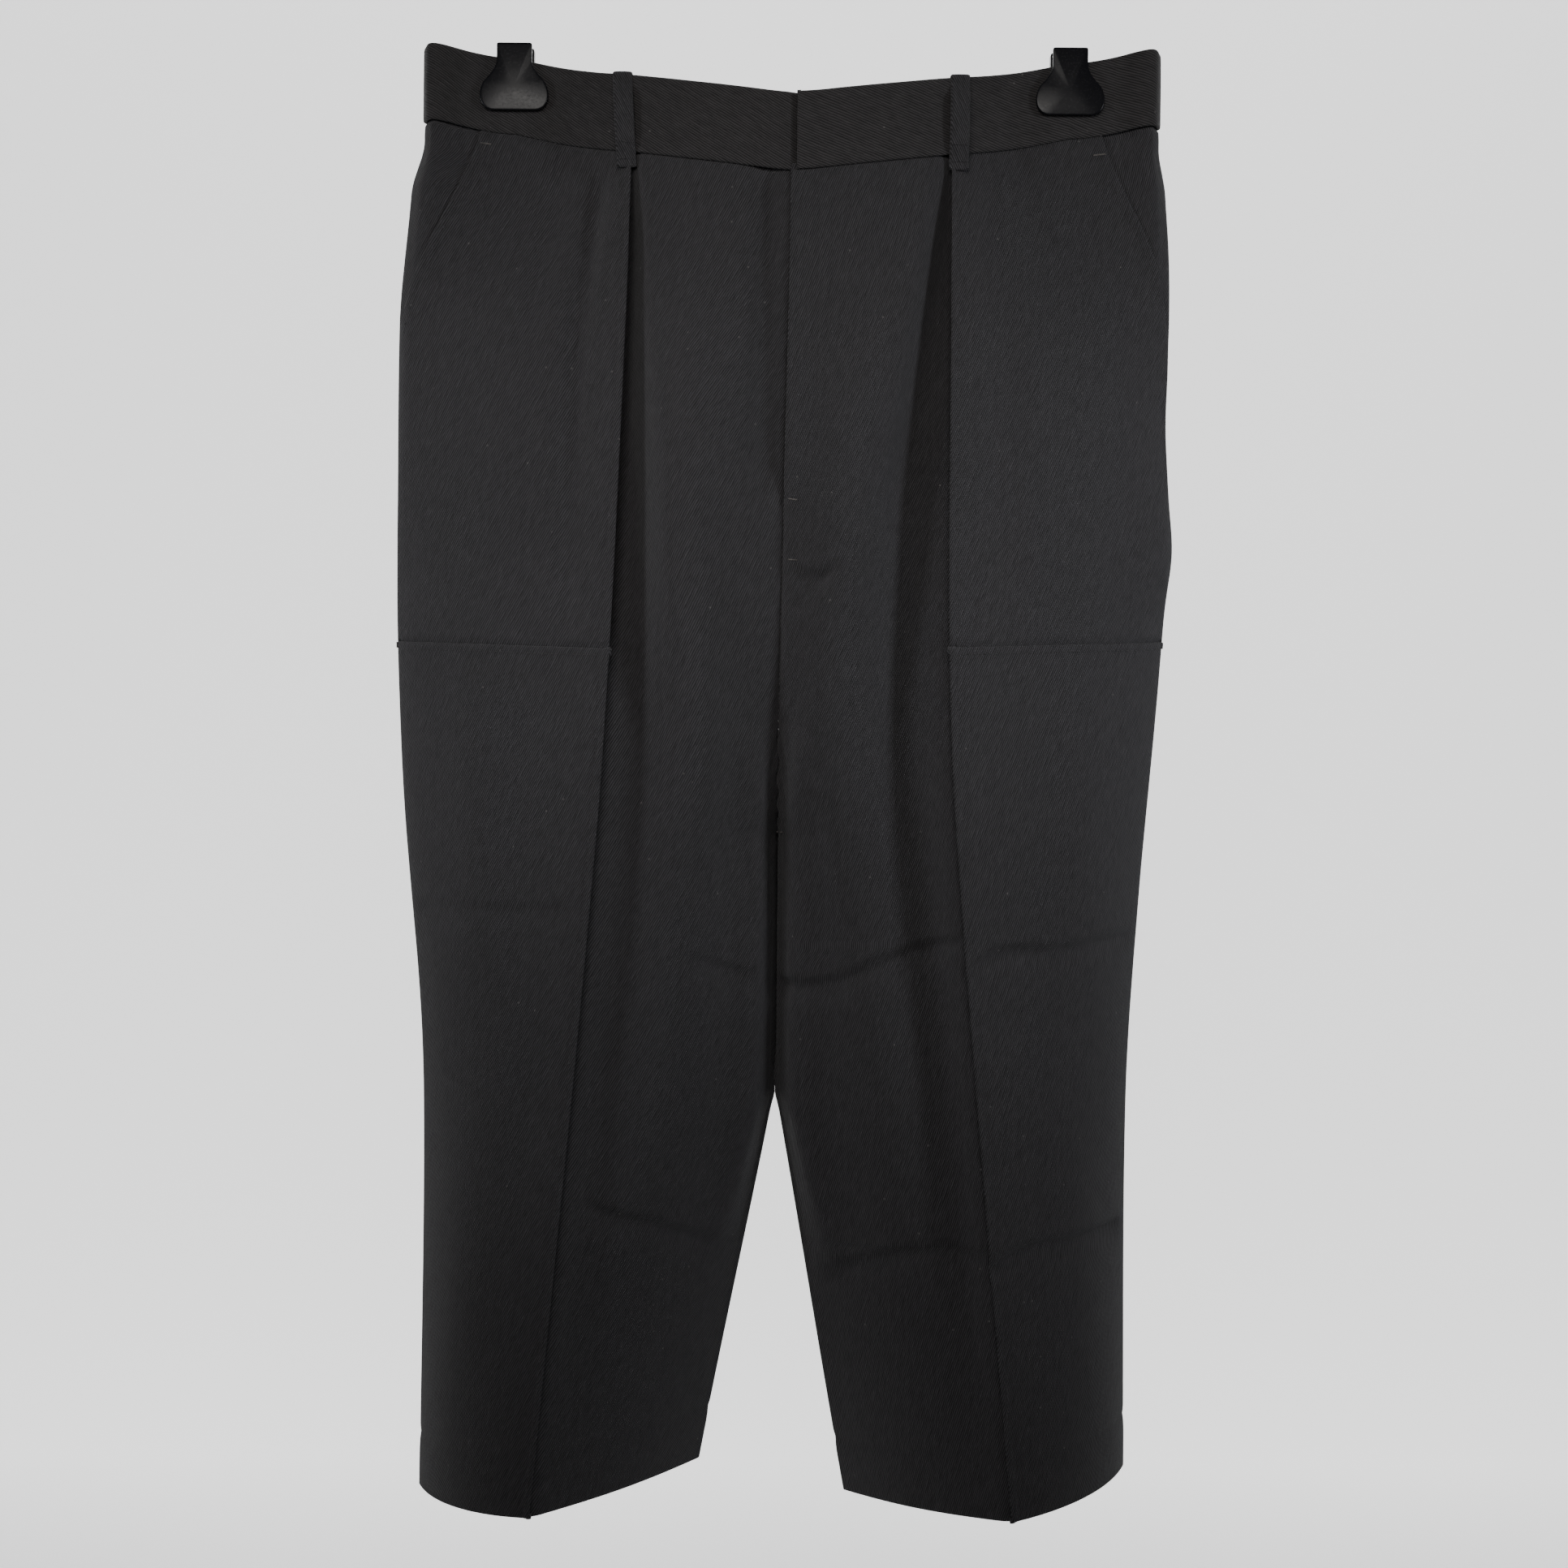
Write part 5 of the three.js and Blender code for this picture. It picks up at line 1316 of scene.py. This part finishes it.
def rounded_block(x, y, z, radius=1.3):
    """A block with rounded corners: rounded rectangles stacked along Z, drawn in by a quarter circle at
    both ends."""
    turn = np.linspace(0, 2 * math.pi, 48, endpoint=False) + math.pi / 48
    corner = np.stack([np.cos(turn), np.sin(turn)], -1)
    centre = np.array([(x[0] + x[1]) / 2, (y[0] + y[1]) / 2])
    half = np.array([(x[1] - x[0]) / 2, (y[1] - y[0]) / 2])
    quarter = np.linspace(0, math.pi / 2, 6)
    rise, drawn = radius * (1 - np.sin(quarter)), radius * (1 - np.cos(quarter))
    rings = []
    for height, inwards in zip([*(z[0] + rise)[::-1], *(z[1] - rise)], [*drawn[::-1], *drawn]):
        xy = centre + np.sign(corner) * (half - radius) + corner * (radius - inwards)
        rings.append(np.stack([xy[:, 0], xy[:, 1], height + 0 * xy[:, 0]], -1))
    return np.array(rings)


def spring_coil(cx, turns=5.5, radius=1.8, wire=0.32, half=2.1):
    """A round wire on a helix about the pin, with one leg down each jaw."""
    t = np.linspace(0, 1, 260)
    angle = 2 * math.pi * turns * t + math.pi / 2
    coil = np.stack([mix(-half, half, t), radius * np.cos(angle), radius * np.sin(angle)], -1)
    leg = np.linspace(0, 1, 12)[1:, None]
    before = coil[0] + leg[::-1] * np.array([0, -1.6, -6.5])
    after = coil[-1] + leg * np.array([0, 1.6, -6.5])
    line = np.concatenate([before, coil, after])
    direction = np.gradient(line, axis=0)
    direction /= np.linalg.norm(direction, axis=1, keepdims=True)
    side = np.cross(direction, [1.0, 0, 0])
    side /= np.linalg.norm(side, axis=1, keepdims=True)
    up = np.cross(direction, side)
    turn = (np.arange(10) * math.pi / 5)[None, :, None]
    tube = line[:, None] + wire * (np.cos(turn) * side[:, None] + np.sin(turn) * up[:, None])
    return tube + np.array([cx, 0, -PIN_DROP])


def pin_rings(cx):
    """The pin with its two rounded ends."""
    turn = np.arange(24) * math.pi / 12
    circle = np.stack([np.cos(turn), np.sin(turn)], -1)
    steps = (-8.8, -8.7, -8.45, -8.1, 8.1, 8.45, 8.7, 8.8)
    return rings_along_x(cx, steps, [r * circle for r in (0.25, 0.5, 0.72, 0.8, 0.8, 0.72, 0.5, 0.25)])


# %% Clips
for side, sign in SIDES:
    cx = sign * CLIP_X
    head = rounded_block((cx - 9.2, cx + 9.2), (4.6, 11.1), (-10, 0))
    clip_part("front_jaw", side, clip_plastic, "clip_plastic", plate_rings(cx, -1),
              knuckle(cx - 7.2, 2.8, -1), knuckle(cx + 7.2, 2.8, -1))
    clip_part("rear_jaw", side, clip_plastic, "clip_plastic", plate_rings(cx, 1),
              knuckle(cx - 4, 2.6, 1), knuckle(cx + 4, 2.6, 1), head)
    clip_part("pin", side, steel, "steel", pin_rings(cx))
    clip_part("spring", side, steel, "steel", spring_coil(cx))

# %% [markdown]
# ## Seams sewn by hand and machine
# Last come the threads: pick stitches that hold the corded crease and the pockets' edges, the row
# under the thigh seam, and the pale bar tacks that take the strain at the ends of openings.

# %% Stitched lines
def seam(name, sign, u, drop, lift, pitch, length):
    """Stitches along a line given by u and drop on a front outer panel, `lift` proud of its cloth. Each
    stitch's up is the way from the line to a copy of it that lies 1 mm higher."""
    line, raised = (place("front", sign, u, drop, outer_lift(sign, u, drop) + lift + extra, True)
                    for extra in (0.0, 1.0))
    line_length, raised_length = (np.linalg.norm(np.diff(p, axis=0), axis=1).sum() for p in (line, raised))
    at, direction = along_line(line, pitch)
    above, _ = along_line(raised, pitch * raised_length / line_length)
    count = min(len(at), len(above))
    normals = above[:count] - at[:count]
    normals /= np.linalg.norm(normals, axis=1, keepdims=True)
    stitches(name, at[:count], normals, direction[:count], length, 0.5)


for side, sign in SIDES:
    drop = np.linspace(60, LEG_DROP - 3, 500)
    seam(f"crease_stitches_{side}", sign, np.full(len(drop), 1.021), drop, 0.1, pitch=3.3, length=1.5)
    drop = np.linspace(MOUTH_TOP_DROP + 6, POCKET_END_DROP - 4, 160)
    seam(f"pocket_stitches_{side}", sign, mouth_u(drop) - 0.03, drop, 0.1, pitch=4.2, length=1.3)
    u = np.linspace(1.03, 1.93, 160)
    drop = np.full(len(u), THIGH_SEAM_DROP + 3.2)
    seam(f"thigh_stitches_{side}", sign, u, drop, 0.45, pitch=3.0, length=1.9)


# %% [markdown]
# ### Bar tacks
# A tack is a dozen tight stitches side by side. Its thread is a shade paler than the seams', which is
# why these small marks are the first thing that the eye finds on dark cloth.

# %% Bar tacks
def bar_tack(name, sign, x_from, x_to, drop, outer, tall=0.9, rise=0.0):
    """Close upright stitches side by side between two places across, on the outer or the inner panel."""
    x = np.arange(x_from, x_to, 0.5)
    drops = drop + rise * (x - x.mean()) + 0.12 * np.cos(7.0 * x)
    scan = np.linspace(-0.05, 2, 900)
    local = sign * (x - float(lean(drop)))
    u = np.interp(local, section("front", scan, drop, outer)[0], scan)
    lift = (outer_lift if outer else inner_lift)(sign, u, drops) + 0.3
    at, above = (place("front", sign, u, drops, lift + extra, outer) for extra in (0.0, 1.0))
    up = np.broadcast_to(np.array([0.12, 0, 1.0]), at.shape)
    stitches(name, at, above - at, up, tall, 0.62, tack_thread, height=0.6)


bar_tack("tack_pocket_right", -1, -164.5, -159.0, 54.0, True, rise=0.1)
bar_tack("tack_pocket_left", 1, 160.0, 166.5, 57.0, True, rise=-0.1)
bar_tack("tack_fly_upper", 1, 0.4, 5.0, 245.5, None, rise=0.15)
bar_tack("tack_fly_lower", 1, 0.6, 5.4, 276.5, None, tall=0.8, rise=0.1)
bar_tack("tack_crotch", 1, -3.4, 3.6, 416.8, None, tall=0.8)
